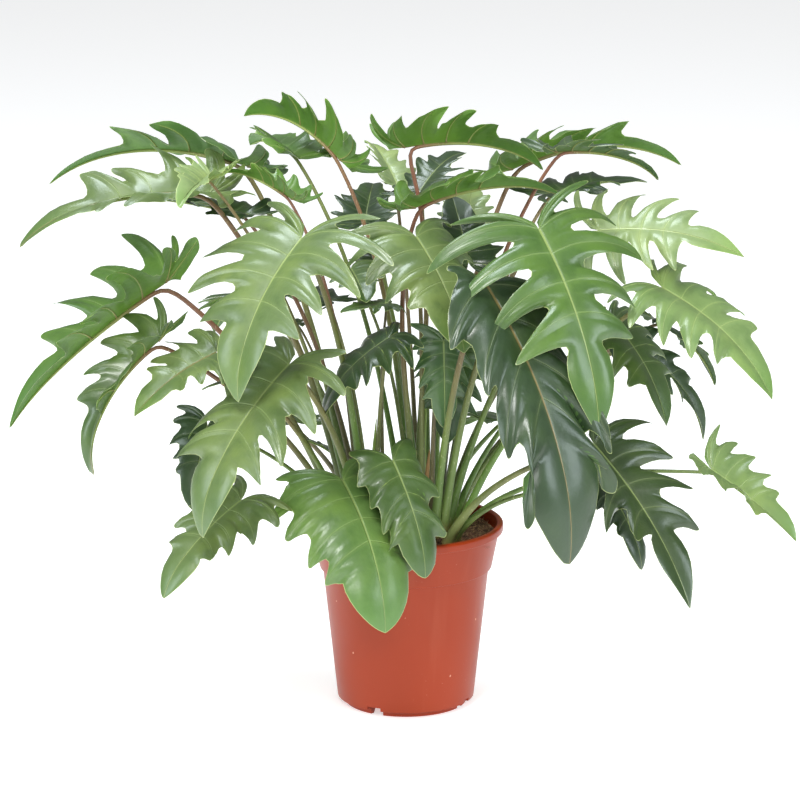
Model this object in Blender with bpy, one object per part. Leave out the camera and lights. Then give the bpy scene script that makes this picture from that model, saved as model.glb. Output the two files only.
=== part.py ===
"""Potted philodendron: a nursery pot of soil with three crowns of long-stalked lobed leaves.

The pot stands on the floor with the centre of its underside at the origin, +Z up, -Y to the front.
Every leaf is one solid, stalk and blade together, because a leaf grows as one piece.
"""
import math
from collections import namedtuple

import bmesh
import bpy
from mathutils import Vector

# Pot, in metres.
POT_HEIGHT = 0.1815
RIM_RADIUS = 0.095
BASE_RADIUS = 0.067
FOOT_INSET = 0.0075
FOOT_WIDTH = 0.007
FOOT_HEIGHT = 0.006
COLLAR_HEIGHT = 0.0445
LIP_HEIGHT = 0.0085
LIP_REACH = 0.006
WALL = 0.0022
DRAIN_RADIUS = 0.005
DRAIN_INSET = 0.0215
DRAIN_COUNT = 6

# Plant, in metres. The leaf table below is drawn for a spread of 0.800.
PLANT_SPREAD = 0.800
SOIL_DROP = 0.0135
BLADE_THICKNESS = 0.0016
STALK_RADIUS = 0.0034
CROWN_RADIUS = 0.0065
CROWN_HEIGHT = 0.030
CROWN_DEPTH = 0.012
CROWN_SPACING = 0.033
GAP = 0.0004

SCALE = PLANT_SPREAD / 0.800
SOIL_TOP = POT_HEIGHT - SOIL_DROP
FOOT_RADIUS = BASE_RADIUS - FOOT_INSET
DRAIN_CIRCLE = FOOT_RADIUS - DRAIN_INSET

# Crown directions round the pot, in degrees.
CROWNS = {"A": 190, "B": 60, "C": 305}

# x, y, z of the joint above the middle of the soil and the blade length, in millimetres; then the
# heading, rise, droop, roll, fold, bend in degrees, the lobing, the width, the crown and the tone.
Leaf = namedtuple("Leaf", "x y z length heading rise droop roll fold bend lobing width crown tone")
LEAVES = [
    Leaf(-65, 60, 360, 125, 145, 40, 60, 20, 40, 0, 0.45, 1.0, "B", "bright"),
    Leaf(0, 20, 380, 140, 5, 10, 45, -15, 40, 0, 0.50, 1.0, "B", "bright"),
    Leaf(-110, -5, 335, 75, 155, 30, 30, 15, 40, 0, 0.40, 1.0, "A", "bright"),
    Leaf(-105, 90, 355, 115, 115, 10, 30, 10, 35, 0, 0.40, 0.9, "B", "bright"),
    Leaf(-190, 10, 337, 195, 190, 5, 40, -10, 30, 0, 0.60, 0.9, "A", "sage"),
    Leaf(-155, 75, 350, 205, 175, 18, 55, 20, 25, 0, 0.60, 0.8, "A", "dark"),
    Leaf(-185, -56, 364, 80, 250, 10, 40, 0, 45, 0, 0.30, 0.9, "A", "pale"),
    Leaf(-155, 30, 312, 105, 145, 5, 10, 0, 25, 0, 0.40, 0.8, "A", "dark"),
    Leaf(-98, -110, 320, 175, 228, -35, 50, 0, 15, 0, 0.50, 1.3, "A", "sage"),
    Leaf(-230, -40, 260, 205, 200, -30, 20, 10, 40, 0, 0.65, 1.0, "A", "bright"),
    Leaf(-235, -90, 215, 145, 215, -30, 60, 5, 40, 0, 0.50, 0.9, "A", "mid"),
    Leaf(-180, -105, 208, 105, 215, -15, 30, -10, 20, 0, 0.50, 1.1, "A", "sage"),
    Leaf(-110, -140, 205, 190, 220, -35, 40, 0, 15, 0, 0.55, 1.15, "A", "sage"),
    Leaf(-190, -60, 125, 85, 250, -50, 30, 0, 15, 0, 0.30, 1.0, "A", "dark"),
    Leaf(-157, -120, 67, 125, 220, -25, 30, -10, 10, 0, 0.35, 0.9, "A", "sage"),
    Leaf(-60, -95, 80, 158, 297, -38, 50, 0, 5, 0, 0.25, 1.15, "C", "mid"),
    Leaf(-12, -92, 98, 118, 300, -50, 30, 0, 5, 0, 0.25, 1.1, "C", "mid"),
    Leaf(10, -60, 310, 100, 305, -35, 35, 0, 10, 0, 0.35, 1.2, "C", "sage"),
    Leaf(10, -25, 331, 145, 5, 22, 40, -10, 35, 0, 0.45, 0.8, "C", "bright"),
    Leaf(15, 100, 322, 95, 60, 30, 40, 0, 20, 0, 0.50, 0.8, "B", "dark"),
    Leaf(-10, 150, 318, 90, 110, 30, 30, 20, 30, 0, 0.40, 0.8, "B", "pale"),
    Leaf(-40, 100, 290, 95, 85, 20, 20, 0, 30, 0, 0.40, 0.9, "B", "dark"),
    Leaf(-53, 15, 262, 60, 285, -10, 20, 0, 20, 0, 0.30, 1.3, "B", "mid"),
    Leaf(-18, -22, 236, 45, 205, 5, 20, 0, 15, 0, 0.30, 1.0, "A", "mid"),
    Leaf(-25, 140, 245, 65, 75, 20, 20, 0, 20, 0, 0.30, 0.9, "B", "dark"),
    Leaf(-18, -66, 212, 85, 195, -15, 40, 0, 15, 0, 0.40, 0.9, "A", "dark"),
    Leaf(75, -150, 285, 285, 310, -43, 45, 0, 13, 0, 0.55, 0.75, "C", "dark"),
    Leaf(125, -120, 331, 210, 305, -44, 40, 0, 10, 0, 0.65, 1.35, "C", "bright"),
    Leaf(36, -60, 208, 85, 280, -82, 6, 0, 10, 0, 0.40, 0.75, "C", "dark"),
    Leaf(45, -12, 188, 70, 250, -75, 10, 0, 10, 0, 0.40, 0.9, "C", "dark"),
    Leaf(145, 0, 380, 115, 20, 0, 40, -10, 30, 0, 0.55, 0.8, "B", "dark"),
    Leaf(105, 95, 343, 180, 15, 22, 55, -15, 35, 0, 0.50, 0.7, "B", "bright"),
    Leaf(185, -30, 310, 135, 345, 10, 30, 20, 15, 0, 0.60, 0.9, "C", "pale"),
    Leaf(140, 90, 320, 110, 25, 10, 20, 0, 20, 0, 0.40, 0.9, "B", "dark"),
    Leaf(245, -60, 260, 130, 340, -25, 40, 10, 15, 0, 0.45, 1.0, "C", "sage"),
    Leaf(212, 50, 177, 135, 10, -25, 60, 30, 25, 0, 0.50, 0.7, "B", "dark"),
    Leaf(247, 85, 193, 100, 25, -30, 40, 0, 15, 0, 0.30, 0.6, "B", "dark"),
    Leaf(200, -10, 215, 105, 325, -40, 40, 0, 15, 0, 0.50, 0.9, "B", "mid"),
    Leaf(178, -130, 125, 185, 318, -36, 30, 5, 15, 0, 0.55, 0.95, "C", "mid"),
    Leaf(190, -110, 80, 90, 320, -45, 30, 0, 15, 0, 0.35, 0.9, "C", "dark"),
    Leaf(295, -60, 80, 105, 340, -30, 15, 10, 35, 0, 0.40, 1.0, "C", "sage"),
    Leaf(60, -15, 275, 100, 100, 36, 20, 0, 20, 0, 0.40, 1.0, "B", "dark"),
    Leaf(60, 120, 280, 85, 85, 25, 20, 0, 20, 0, 0.40, 0.9, "B", "pale"),
    Leaf(-75, 60, 220, 70, 145, 15, 20, 0, 20, 0, 0.40, 1.0, "A", "dark"),
    Leaf(-105, 52, 199, 40, 195, 0, 30, 0, 20, 0, 0.30, 1.0, "A", "dark"),
    Leaf(-72, 48, 70, 35, 200, 35, 20, 0, 20, 0, 0.20, 0.9, "A", "mid"),
    Leaf(130, 120, 175, 160, 60, -10, 50, 0, 15, 0, 0.50, 0.9, "B", "mid"),
    Leaf(95, 110, 85, 155, 60, -10, 50, 0, 15, 0, 0.50, 0.9, "B", "mid"),
    Leaf(-140, 110, 210, 145, 115, -5, 50, 0, 15, 0, 0.50, 0.9, "A", "mid"),
    Leaf(-115, 110, 85, 135, 120, 0, 50, 0, 15, 0, 0.50, 0.9, "A", "mid"),
]

# Blade plan. Column p: the ear edge at -0.5, the ear at 0, side lobes at 1 to 4, the end lobe at 5.
PLAN_P = [-0.5, 0, 1, 2, 3, 4, 5]
PLAN_ROOT = [0, 0, 0, 0.16, 0.34, 0.52, 0.70]
PLAN_ANGLE = [168, 138, 100, 74, 58, 44, 0]
PLAN_REACH = [0.16, 0.27, 0.38, 0.42, 0.38, 0.33, 0.30]
VEIN_SWEEP = math.radians(25)
WIDE_COLUMNS = [-0.5, -0.2, 0.2, 0.5, 0.8, 1.25, 1.5, 1.8, 2.2, 2.5, 2.8, 3.2, 3.5, 3.8, 4.2, 4.5, 4.8, 5]
FEW_COLUMNS = [-0.5, 0, 0.5, 1, 1.5, 2, 2.5, 3, 3.5, 4, 4.5, 5]
STALK_STEPS = 5
STALK_SIDES = 5
END_SHARE = 0.6
BASE_SHARE = 1.12
MARGIN_CURL = 50

TERRACOTTA = (0.58, 0.115, 0.045)
SOIL_BROWN = (0.075, 0.040, 0.025)
CROWN_BROWN = (0.16, 0.11, 0.045)
SCALE_STRAW = (0.36, 0.22, 0.07)
SPEAR_GREEN = (0.26, 0.42, 0.09)
# Leaf greens: the young ones bright or pale, the old ones dark, and sage where the top's sheen shows.
TONES = {
    "bright": (0.13, 0.27, 0.05),
    "pale": (0.36, 0.46, 0.18),
    "sage": (0.26, 0.38, 0.16),
    "mid": (0.11, 0.21, 0.06),
    "dark": (0.045, 0.10, 0.05),
}


def clear_scene():
    for item in list(bpy.data.objects):
        bpy.data.objects.remove(item, do_unlink=True)


def material(name, colour, roughness):
    mat = bpy.data.materials.new(name)
    mat.use_nodes = True
    shader = mat.node_tree.nodes["Principled BSDF"]
    shader.inputs["Base Color"].default_value = (*colour, 1)
    shader.inputs["Roughness"].default_value = roughness
    shader.inputs["Metallic"].default_value = 0
    return mat


def make_object(name, points, faces, mat=None, smooth=True, spot=Vector((0, 0, 0))):
    """Object at spot, with its points measured from there."""
    mesh = bpy.data.meshes.new(name)
    mesh.from_pydata([tuple(p) for p in points], [], faces)
    body = bmesh.new()
    body.from_mesh(mesh)
    bmesh.ops.recalc_face_normals(body, faces=body.faces[:])
    body.to_mesh(mesh)
    body.free()
    for poly in mesh.polygons:
        poly.use_smooth = smooth
    item = bpy.data.objects.new(name, mesh)
    item.location = spot
    bpy.context.scene.collection.objects.link(item)
    if mat:
        mesh.materials.append(mat)
    return item


def combine(item, tool, operation):
    """Join or cut item with tool for good, and take the tool away."""
    tool.hide_render = True
    tool.display_type = "WIRE"
    step = item.modifiers.new(operation.lower(), "BOOLEAN")
    step.operation = operation
    step.solver = "EXACT"
    step.object = tool
    bpy.context.view_layer.update()
    graph = bpy.context.evaluated_depsgraph_get()
    mesh = bpy.data.meshes.new_from_object(item.evaluated_get(graph))
    item.modifiers.clear()
    item.data = mesh
    bpy.data.objects.remove(tool, do_unlink=True)
    body = bmesh.new()
    body.from_mesh(mesh)
    bmesh.ops.remove_doubles(body, verts=body.verts[:], dist=0.00004)
    bmesh.ops.dissolve_degenerate(body, edges=body.edges[:], dist=0.00004)
    body.to_mesh(mesh)
    body.free()
    return item


def lathe(name, profile, sides, mat=None, spot=Vector((0, 0, 0))):
    """Turn a closed outline of (radius, height) points about spot; zero radius makes a pole."""
    points = []
    rings = []
    for radius, height in profile:
        if radius == 0:
            rings.append([len(points)])
            points.append((0, 0, height))
            continue
        first = len(points)
        for i in range(sides):
            turn = 2 * math.pi * i / sides
            points.append((radius * math.cos(turn), radius * math.sin(turn), height))
        rings.append(list(range(first, first + sides)))
    faces = []
    for lower, upper in zip(rings, rings[1:]):
        for i in range(sides):
            j = (i + 1) % sides
            if len(lower) == 1:
                faces.append((lower[0], upper[j], upper[i]))
            elif len(upper) == 1:
                faces.append((lower[i], lower[j], upper[0]))
            else:
                faces.append((lower[i], lower[j], upper[j], upper[i]))
    return make_object(name, points, faces, mat, True, spot)


def pot_radius(height):
    """Outer radius of the plain tapered body at a height."""
    step = POT_HEIGHT - COLLAR_HEIGHT
    top = RIM_RADIUS - 0.014
    return BASE_RADIUS + (top - BASE_RADIUS) * (height - FOOT_HEIGHT) / (step - FOOT_HEIGHT)


def build_pot():
    step = POT_HEIGHT - COLLAR_HEIGHT
    lip = POT_HEIGHT - LIP_HEIGHT
    collar_low = RIM_RADIUS - 0.0112
    collar_high = RIM_RADIUS - 0.0040
    channel = 0.004
    floor = FOOT_HEIGHT + WALL + 0.001
    profile = [
        (0, 0), (0.020, 0), (0.022, channel), (FOOT_RADIUS - FOOT_WIDTH, channel),
        (FOOT_RADIUS - FOOT_WIDTH + 0.002, 0), (FOOT_RADIUS, 0), (FOOT_RADIUS + 0.0005, FOOT_HEIGHT),
        (BASE_RADIUS - 0.0012, FOOT_HEIGHT), (BASE_RADIUS, FOOT_HEIGHT + 0.0012),
        (pot_radius(step), step), (collar_low, step + 0.0012), (collar_high, lip),
        (RIM_RADIUS - 0.0012, lip), (RIM_RADIUS, lip + 0.002), (RIM_RADIUS, POT_HEIGHT - 0.002),
        (RIM_RADIUS - 0.0015, POT_HEIGHT), (RIM_RADIUS - LIP_REACH + 0.0012, POT_HEIGHT),
        (RIM_RADIUS - LIP_REACH - 0.0006, POT_HEIGHT - 0.002),
        (collar_high - WALL, lip - 0.003), (collar_low - WALL, step + 0.003),
        (pot_radius(step) - WALL, step - 0.001), (BASE_RADIUS - WALL - 0.001, floor), (0, floor),
    ]
    pot = lathe("pot", profile, 44, material("terracotta_plastic", TERRACOTTA, 0.38))
    for k in range(DRAIN_COUNT):
        turn = 2 * math.pi * (k + 0.5) / DRAIN_COUNT
        spot = Vector((DRAIN_CIRCLE * math.cos(turn), DRAIN_CIRCLE * math.sin(turn), 0))
        hole = lathe("drain", [(0, -0.01), (DRAIN_RADIUS, -0.01), (DRAIN_RADIUS, 0.03), (0, 0.03)],
                     12, None, spot)
        combine(pot, hole, "DIFFERENCE")
    for k, wide in enumerate((0.22, 0.16, 0.22, 0.16)):
        combine(pot, foot_notch(math.radians(-118 + 90 * k), wide), "DIFFERENCE")
    return pot


def foot_notch(turn, wide):
    """A gap cut outward through the foot ring and the lower edge of the wall."""
    points = []
    for height in (-0.01, FOOT_HEIGHT + 0.0035):
        for radius in (FOOT_RADIUS - 0.009, BASE_RADIUS + 0.01):
            for side in (-0.5, 0.5):
                angle = turn + side * wide
                points.append((radius * math.cos(angle), radius * math.sin(angle), height))
    faces = [(0, 1, 3, 2), (4, 6, 7, 5), (0, 4, 5, 1), (2, 3, 7, 6), (0, 2, 6, 4), (1, 5, 7, 3)]
    return make_object("notch", points, faces, None, False)


def crown_spot(key):
    turn = math.radians(CROWNS[key])
    return Vector((CROWN_SPACING * math.cos(turn), CROWN_SPACING * math.sin(turn), SOIL_TOP))


def soil_height(x, y):
    """Gentle lumps of the planting mix."""
    lump = math.sin(x * 173) * math.cos(y * 151) + 0.6 * math.sin(x * 331 + y * 287)
    return SOIL_TOP + 0.0009 * lump


def build_soil():
    step = POT_HEIGHT - COLLAR_HEIGHT
    wall = WALL + GAP
    low = FOOT_HEIGHT + WALL + 0.001 + GAP
    share = (SOIL_TOP - step) / (COLLAR_HEIGHT - LIP_HEIGHT)
    top = RIM_RADIUS - 0.0112 + 0.0072 * share - wall - 0.001
    profile = [(0, low), (BASE_RADIUS - wall - 0.0015, low), (pot_radius(step) - wall - 0.0004, step - 0.001),
               (top, SOIL_TOP - 0.002), (top * 0.97, SOIL_TOP), (top * 0.75, SOIL_TOP),
               (top * 0.5, SOIL_TOP), (top * 0.25, SOIL_TOP), (0, SOIL_TOP)]
    soil = lathe("soil", profile, 28, material("planting_mix", SOIL_BROWN, 0.95))
    for point in soil.data.vertices:
        if point.co.z > SOIL_TOP - 0.0001:
            point.co.z = soil_height(point.co.x, point.co.y)
    for key in CROWNS:
        hole = [(0, -CROWN_DEPTH), (CROWN_RADIUS + GAP, -CROWN_DEPTH), (CROWN_RADIUS + GAP, 0.02), (0, 0.02)]
        combine(soil, lathe("socket", hole, 12, None, crown_spot(key)), "DIFFERENCE")
    return soil


def build_crown(number, key, mat):
    low = GAP - CROWN_DEPTH
    rise = CROWN_HEIGHT - CROWN_DEPTH
    profile = [(0, low), (CROWN_RADIUS * 0.8, low), (CROWN_RADIUS, low + 0.003),
               (CROWN_RADIUS * 0.94, rise * 0.4), (CROWN_RADIUS * 0.98, rise * 0.5),
               (CROWN_RADIUS * 0.80, rise * 0.9), (CROWN_RADIUS * 0.60, rise), (0, rise)]
    return lathe("crown_%d" % number, profile, 12, mat, crown_spot(key))


def table(values, p):
    """Straight-line value of a plan list at column p."""
    for i in range(len(PLAN_P) - 1):
        if p <= PLAN_P[i + 1]:
            part = (p - PLAN_P[i]) / (PLAN_P[i + 1] - PLAN_P[i])
            return values[i] + (values[i + 1] - values[i]) * part
    return values[-1]


def plan_point(leaf, p, t):
    """Flat blade point: distance along the midrib and out from it, for a blade of length one."""
    part = abs(p - round(p)) * 2
    reach = table(PLAN_REACH, p) * (1 - leaf.lobing * part ** 3)
    angle = math.radians(table(PLAN_ANGLE, p))
    sweep = VEIN_SWEEP * min(1, (5 - p) / 1.5)
    turn = sweep * t * reach / table(PLAN_REACH, p)
    size = t * reach
    middle = angle - turn / 2
    along = table(PLAN_ROOT, p) + size * math.cos(middle)
    out = size * math.sin(middle) * leaf.width
    return along, max(out, 0)


def reach_push(leaf):
    """Low leaves keep clear of the rim when the pot is wider than the plant was drawn for."""
    if leaf.z > 150:
        return 0
    return RIM_RADIUS - 0.095 * SCALE


def joint_of(leaf):
    flat = Vector((leaf.x, leaf.y, 0)) * 0.001 * SCALE
    flat += flat.normalized() * reach_push(leaf)
    return Vector((flat.x, flat.y, SOIL_TOP + leaf.z * 0.001 * SCALE))


def frame_at(leaf, share):
    """Midrib direction, left and up at a share of its length."""
    share = min(max(share, 0), 1)
    pitch = math.radians(leaf.rise - leaf.droop * share ** 1.3)
    head = math.radians(leaf.heading + leaf.bend * share)
    along = Vector((math.cos(pitch) * math.cos(head), math.cos(pitch) * math.sin(head), math.sin(pitch)))
    left = Vector((-math.sin(head), math.cos(head), 0))
    up = along.cross(left)
    roll = math.radians(leaf.roll)
    return along, left * math.cos(roll) + up * math.sin(roll), up * math.cos(roll) - left * math.sin(roll)


def midrib_point(leaf, share):
    length = leaf.length * 0.001 * SCALE
    start = joint_of(leaf)
    if share <= 0:
        return start + frame_at(leaf, 0)[0] * length * share
    steps = max(2, int(math.ceil(share * 24)))
    for i in range(steps):
        start += frame_at(leaf, share * (i + 0.5) / steps)[0] * (length * share / steps)
    return start


def blade_point(leaf, along, out, side, lift):
    """Bend a flat blade point to its place; lift moves it off the middle surface."""
    length = leaf.length * 0.001 * SCALE
    base = midrib_point(leaf, along)
    forward, left, up = frame_at(leaf, along)
    fold = math.radians(leaf.fold)
    if out < 0.0001:
        return base + up * (lift / math.cos(fold))
    curl = math.radians(MARGIN_CURL - leaf.fold) / (0.40 * length)
    reach = out * length
    tilt = fold - curl * reach
    flat = (math.sin(fold) - math.sin(tilt)) / curl
    high = (math.cos(tilt) - math.cos(fold)) / curl
    normal = up * math.cos(tilt) - left * (side * math.sin(tilt))
    return base + left * (side * flat) + up * high + normal * lift


def blade_grid(leaf):
    if leaf.length * SCALE < 0.100 * 1000:
        return FEW_COLUMNS, [1]
    return WIDE_COLUMNS, [0.55, 1] if leaf.length * SCALE > 0.160 * 1000 else [1]


class Plate:
    """Points of one blade, numbered as they are first asked for. Face 1 is the top, -1 the underside."""

    def __init__(self, leaf):
        self.leaf = leaf
        self.points = []
        self.index = {}
        self.faces = []
        self.length = leaf.length * 0.001 * SCALE
        self.end = stalk_radius(leaf) * END_SHARE

    def add(self, key, point):
        if key not in self.index:
            self.index[key] = len(self.points)
            self.points.append(point)
        return self.index[key]

    def lift(self, face, along):
        """Half the blade's thickness, with the midrib's ridge under it."""
        ridge = 0.5 * self.end * max(0, 1 - along) if face < 0 else 0
        return face * (BLADE_THICKNESS / 2 + ridge)

    def middle(self, along, face):
        """Midrib point."""
        point = blade_point(self.leaf, along, 0, 1, self.lift(face, along))
        return self.add(("middle", round(along, 5), face), point)

    def outer(self, side, p, t, face):
        """Point out in the blade; the margin has no thickness."""
        along, out = plan_point(self.leaf, p, t)
        edge = t == 1 or p == -0.5
        key = (0 if p == 5 else side, p, t, 0 if edge else face)
        thick = 0 if edge else face * BLADE_THICKNESS * 0.4
        return self.add(key, blade_point(self.leaf, along, out, side, thick))

    def collar(self, side, p):
        """Underside point of the ring where the stalk joins."""
        size = 1.5 * self.end / self.length
        if p is None:
            return self.middle(size, -1)
        angle = math.radians(table(PLAN_ANGLE, p))
        point = blade_point(self.leaf, size * math.cos(angle), size * math.sin(angle), side, self.lift(-1, 0))
        return self.add(("collar", side, p), point)

    def sheet(self, side, columns, rows):
        """Both faces of one half of the blade."""
        joint = self.middle(0, 1)
        first = rows[0]
        for p, q in zip(columns, columns[1:]):
            for face in (1, -1):
                near = self.outer(side, p, first, face)
                far = self.outer(side, q, first, face)
                if q > 1:
                    ahead = self.middle(table(PLAN_ROOT, q), face)
                    start = self.middle(table(PLAN_ROOT, p), face) if p > 1 else joint
                    if p <= 1 and face < 0:
                        start = self.collar(side, None)
                        self.faces.append((start, near, self.collar(side, p)))
                    if q == 5:
                        self.faces += [(start, ahead, near), (ahead, far, near)]
                    else:
                        self.faces += [(start, ahead, far), (start, far, near)]
                elif face > 0:
                    self.faces.append((joint, far, near))
                else:
                    one = self.collar(side, p)
                    two = self.collar(side, q)
                    self.faces += [(one, two, far), (one, far, near)]
                for s, t in zip(rows, rows[1:]):
                    ring = [self.outer(side, p, s, face), self.outer(side, q, s, face)]
                    ring += [self.outer(side, q, t, face), self.outer(side, p, t, face)]
                    self.faces += [(ring[0], ring[1], ring[3]), (ring[1], ring[2], ring[3])]

    def root(self, columns, rows):
        """Small faces behind the joint, and the ring of underside points for the stalk."""
        joint = self.middle(0, 1)
        ears = [self.collar(side, -0.5) for side in (1, -1)]
        self.faces.append((joint, ears[0], ears[1]))
        for side, ear in zip((1, -1), ears):
            self.faces.append((joint, self.outer(side, -0.5, rows[0], 1), ear))
        near = [p for p in columns if p <= 1]
        angles = [table(PLAN_ANGLE, p) for p in near]
        left = [(angle, self.collar(1, p)) for angle, p in zip(angles, near)]
        right = [(360 - angle, self.collar(-1, p)) for angle, p in zip(angles, near)]
        return [(0, self.collar(1, None))] + left[::-1] + right


def zip_rings(one, two):
    """Triangles between two closed rings, each a list of (angle, point number) from angle zero."""
    faces = []
    i = j = 0
    while i < len(one) or j < len(two):
        here = one[i % len(one)][1]
        there = two[j % len(two)][1]
        turn_one = one[i + 1][0] if i + 1 < len(one) else 360
        turn_two = two[j + 1][0] if j + 1 < len(two) else 360
        if i < len(one) and (turn_one <= turn_two or j >= len(two)):
            faces.append((here, one[(i + 1) % len(one)][1], there))
            i += 1
        else:
            faces.append((here, two[(j + 1) % len(two)][1], there))
            j += 1
    return faces


def stalk_radius(leaf):
    return STALK_RADIUS * SCALE * min(1.12, 0.45 + leaf.length / 290)


def spread_angles(wanted, spacing):
    """Move sorted angles apart until neighbours keep the spacing."""
    angles = list(wanted)
    for _ in range(200):
        for i in range(len(angles) - 1):
            short = spacing - (angles[i + 1] - angles[i])
            if short > 0:
                angles[i] -= short / 2
                angles[i + 1] += short / 2
    return angles


def stalk_bases():
    """Foot of every stalk: three rings round each crown, low leaves outside, upright ones inside."""
    bases = {}
    pitch = 2 * STALK_RADIUS * 1.12 * BASE_SHARE * SCALE + GAP
    for key in CROWNS:
        spot = crown_spot(key)
        group = [i for i, leaf in enumerate(LEAVES) if leaf.crown == key]
        group.sort(key=lambda i: steepness(i, spot))
        for ring in range(3):
            members = [i for rank, i in enumerate(group) if rank * 3 // len(group) == ring]
            radius = CROWN_RADIUS + GAP + pitch * (2.5 - ring) + 0.0005
            middle = CROWNS[key]
            members.sort(key=lambda i: azimuth(i, spot, middle))
            angles = [azimuth(i, spot, middle) for i in members]
            angles = spread_angles(angles, math.degrees(1.06 * pitch / radius))
            for i, angle in zip(members, angles):
                turn = math.radians(middle + angle)
                out = Vector((math.cos(turn), math.sin(turn), 0))
                bases[i] = spot + out * radius + Vector((0, 0, 0.004 + 0.007 * ring))
    return bases


def steepness(i, spot):
    away = joint_of(LEAVES[i]) - spot
    return math.atan2(away.z, math.hypot(away.x, away.y))


def azimuth(i, spot, middle):
    """Direction of the joint seen from the crown, in degrees either side of the crown's own."""
    away = joint_of(LEAVES[i]) - spot
    turn = math.degrees(math.atan2(away.y, away.x)) - middle
    return (turn + 180) % 360 - 180


def stalk_line(leaf, base, end):
    """Bowed line from the crown up to the underside of the joint, with shares of the radius."""
    joint = joint_of(leaf)
    away = joint - base
    flat = Vector((away.x, away.y, 0))
    plan = flat.normalized()
    slope = math.atan2(away.z, flat.length)
    leave = slope + 0.5 * (math.pi / 2 - slope)
    arrive = slope - math.radians(16)
    toward = plan * math.cos(arrive) + Vector((0, 0, math.sin(arrive)))
    stop = joint - frame_at(leaf, 0)[2] * (1.3 * end + BLADE_THICKNESS) - toward * (0.7 * end)
    size = away.length
    one = base + (plan * math.cos(leave) + Vector((0, 0, math.sin(leave)))) * size * 0.36
    two = stop - toward * size * 0.34
    line = []
    for k in range(STALK_STEPS + 1):
        t = k / STALK_STEPS
        point = base * (1 - t) ** 3 + one * 3 * t * (1 - t) ** 2 + two * 3 * t * t * (1 - t) + stop * t ** 3
        line.append((point, BASE_SHARE - (BASE_SHARE - END_SHARE) * t ** 0.7))
    return line, toward


def tube_rings(line, radius, sides, front):
    """Rings of a tapered tube, made from its far end back so they don't twist; front leads the last one."""
    rings = []
    for i in range(len(line) - 1, -1, -1):
        spot, share = line[i]
        ahead = line[min(i + 1, len(line) - 1)][0]
        behind = line[max(i - 1, 0)][0]
        along = (ahead - behind).normalized()
        front = (front - along * front.dot(along)).normalized()
        left = along.cross(front)
        ring = []
        for k in range(sides):
            turn = 2 * math.pi * k / sides
            ring.append(spot + (front * math.cos(turn) + left * math.sin(turn)) * radius * share)
        rings.append(ring)
    return rings[::-1]


def tube_faces(start, count, sides):
    """Side faces of a tube whose rings are numbered on from start."""
    faces = []
    for i in range(count - 1):
        for k in range(sides):
            a = start + i * sides + k
            b = start + i * sides + (k + 1) % sides
            faces.append((a, b, b + sides, a + sides))
    return faces


def build_leaf(number, leaf, base, mat):
    """One grown leaf: the blade's two faces, and the stalk running into its underside."""
    columns, rows = blade_grid(leaf)
    plate = Plate(leaf)
    for side in (1, -1):
        plate.sheet(side, columns, rows)
    collar = plate.root(columns, rows)
    line, toward = stalk_line(leaf, base, plate.end)
    front = frame_at(leaf, 0)[1].cross(toward)
    rings = tube_rings(line, stalk_radius(leaf), STALK_SIDES, front)
    start = len(plate.points)
    for ring in rings:
        plate.points += ring
    faces = plate.faces + tube_faces(start, len(rings), STALK_SIDES)
    faces.append(tuple(range(start, start + STALK_SIDES)))
    last = start + STALK_SIDES * (len(rings) - 1)
    top = [(360 * k / STALK_SIDES, last + k) for k in range(STALK_SIDES)]
    faces += zip_rings(top, collar)
    points = [point - base for point in plate.points]
    return make_object("leaf_%02d" % number, points, faces, mat, True, base)


def build_spear(name, key, height, thick, mat):
    """Rolled new leaf or dry bud scale standing on the tip of a crown."""
    foot = crown_spot(key) + Vector((0, 0, CROWN_HEIGHT - CROWN_DEPTH + GAP))
    shares = ((0, 0.8), (0.15, 1.0), (0.45, 0.95), (0.75, 0.6), (1, 0.12))
    line = [(Vector((0.004 * s * s, -0.003 * s, height * SCALE * s)), w) for s, w in shares]
    points = [spot for ring in tube_rings(line, thick, 8, Vector((1, 0, 0))) for spot in ring]
    faces = tube_faces(0, len(line), 8)
    faces += [tuple(range(8)), tuple(range(len(points) - 8, len(points)))]
    return make_object(name, points, faces, mat, True, foot)


def gather(root):
    """Hang every piece from one empty at the origin."""
    for item in list(bpy.context.scene.collection.objects):
        if item != root:
            item.parent = root


def build_all():
    clear_scene()
    build_pot()
    build_soil()
    crown_mat = material("crown_bark", CROWN_BROWN, 0.8)
    for number, key in enumerate(CROWNS, 1):
        build_crown(number, key, crown_mat)
    leaf_mats = {tone: material("leaf_" + tone, colour, 0.42) for tone, colour in TONES.items()}
    bases = stalk_bases()
    for i, leaf in enumerate(LEAVES):
        build_leaf(i + 1, leaf, bases[i], leaf_mats[leaf.tone])
    spear_mat = material("new_leaf", SPEAR_GREEN, 0.45)
    build_spear("new_leaf_1", "A", 0.100, 0.0032, spear_mat)
    build_spear("new_leaf_2", "B", 0.120, 0.0032, spear_mat)
    build_spear("bud_scale", "C", 0.075, 0.0036, material("bud_scale", SCALE_STRAW, 0.7))
    root = bpy.data.objects.new("plant", None)
    bpy.context.scene.collection.objects.link(root)
    gather(root)


build_all()
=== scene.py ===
"""Potted philodendron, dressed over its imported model: pot, planting mix, crowns, leaves and new shoots."""
import math
from collections import namedtuple

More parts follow.
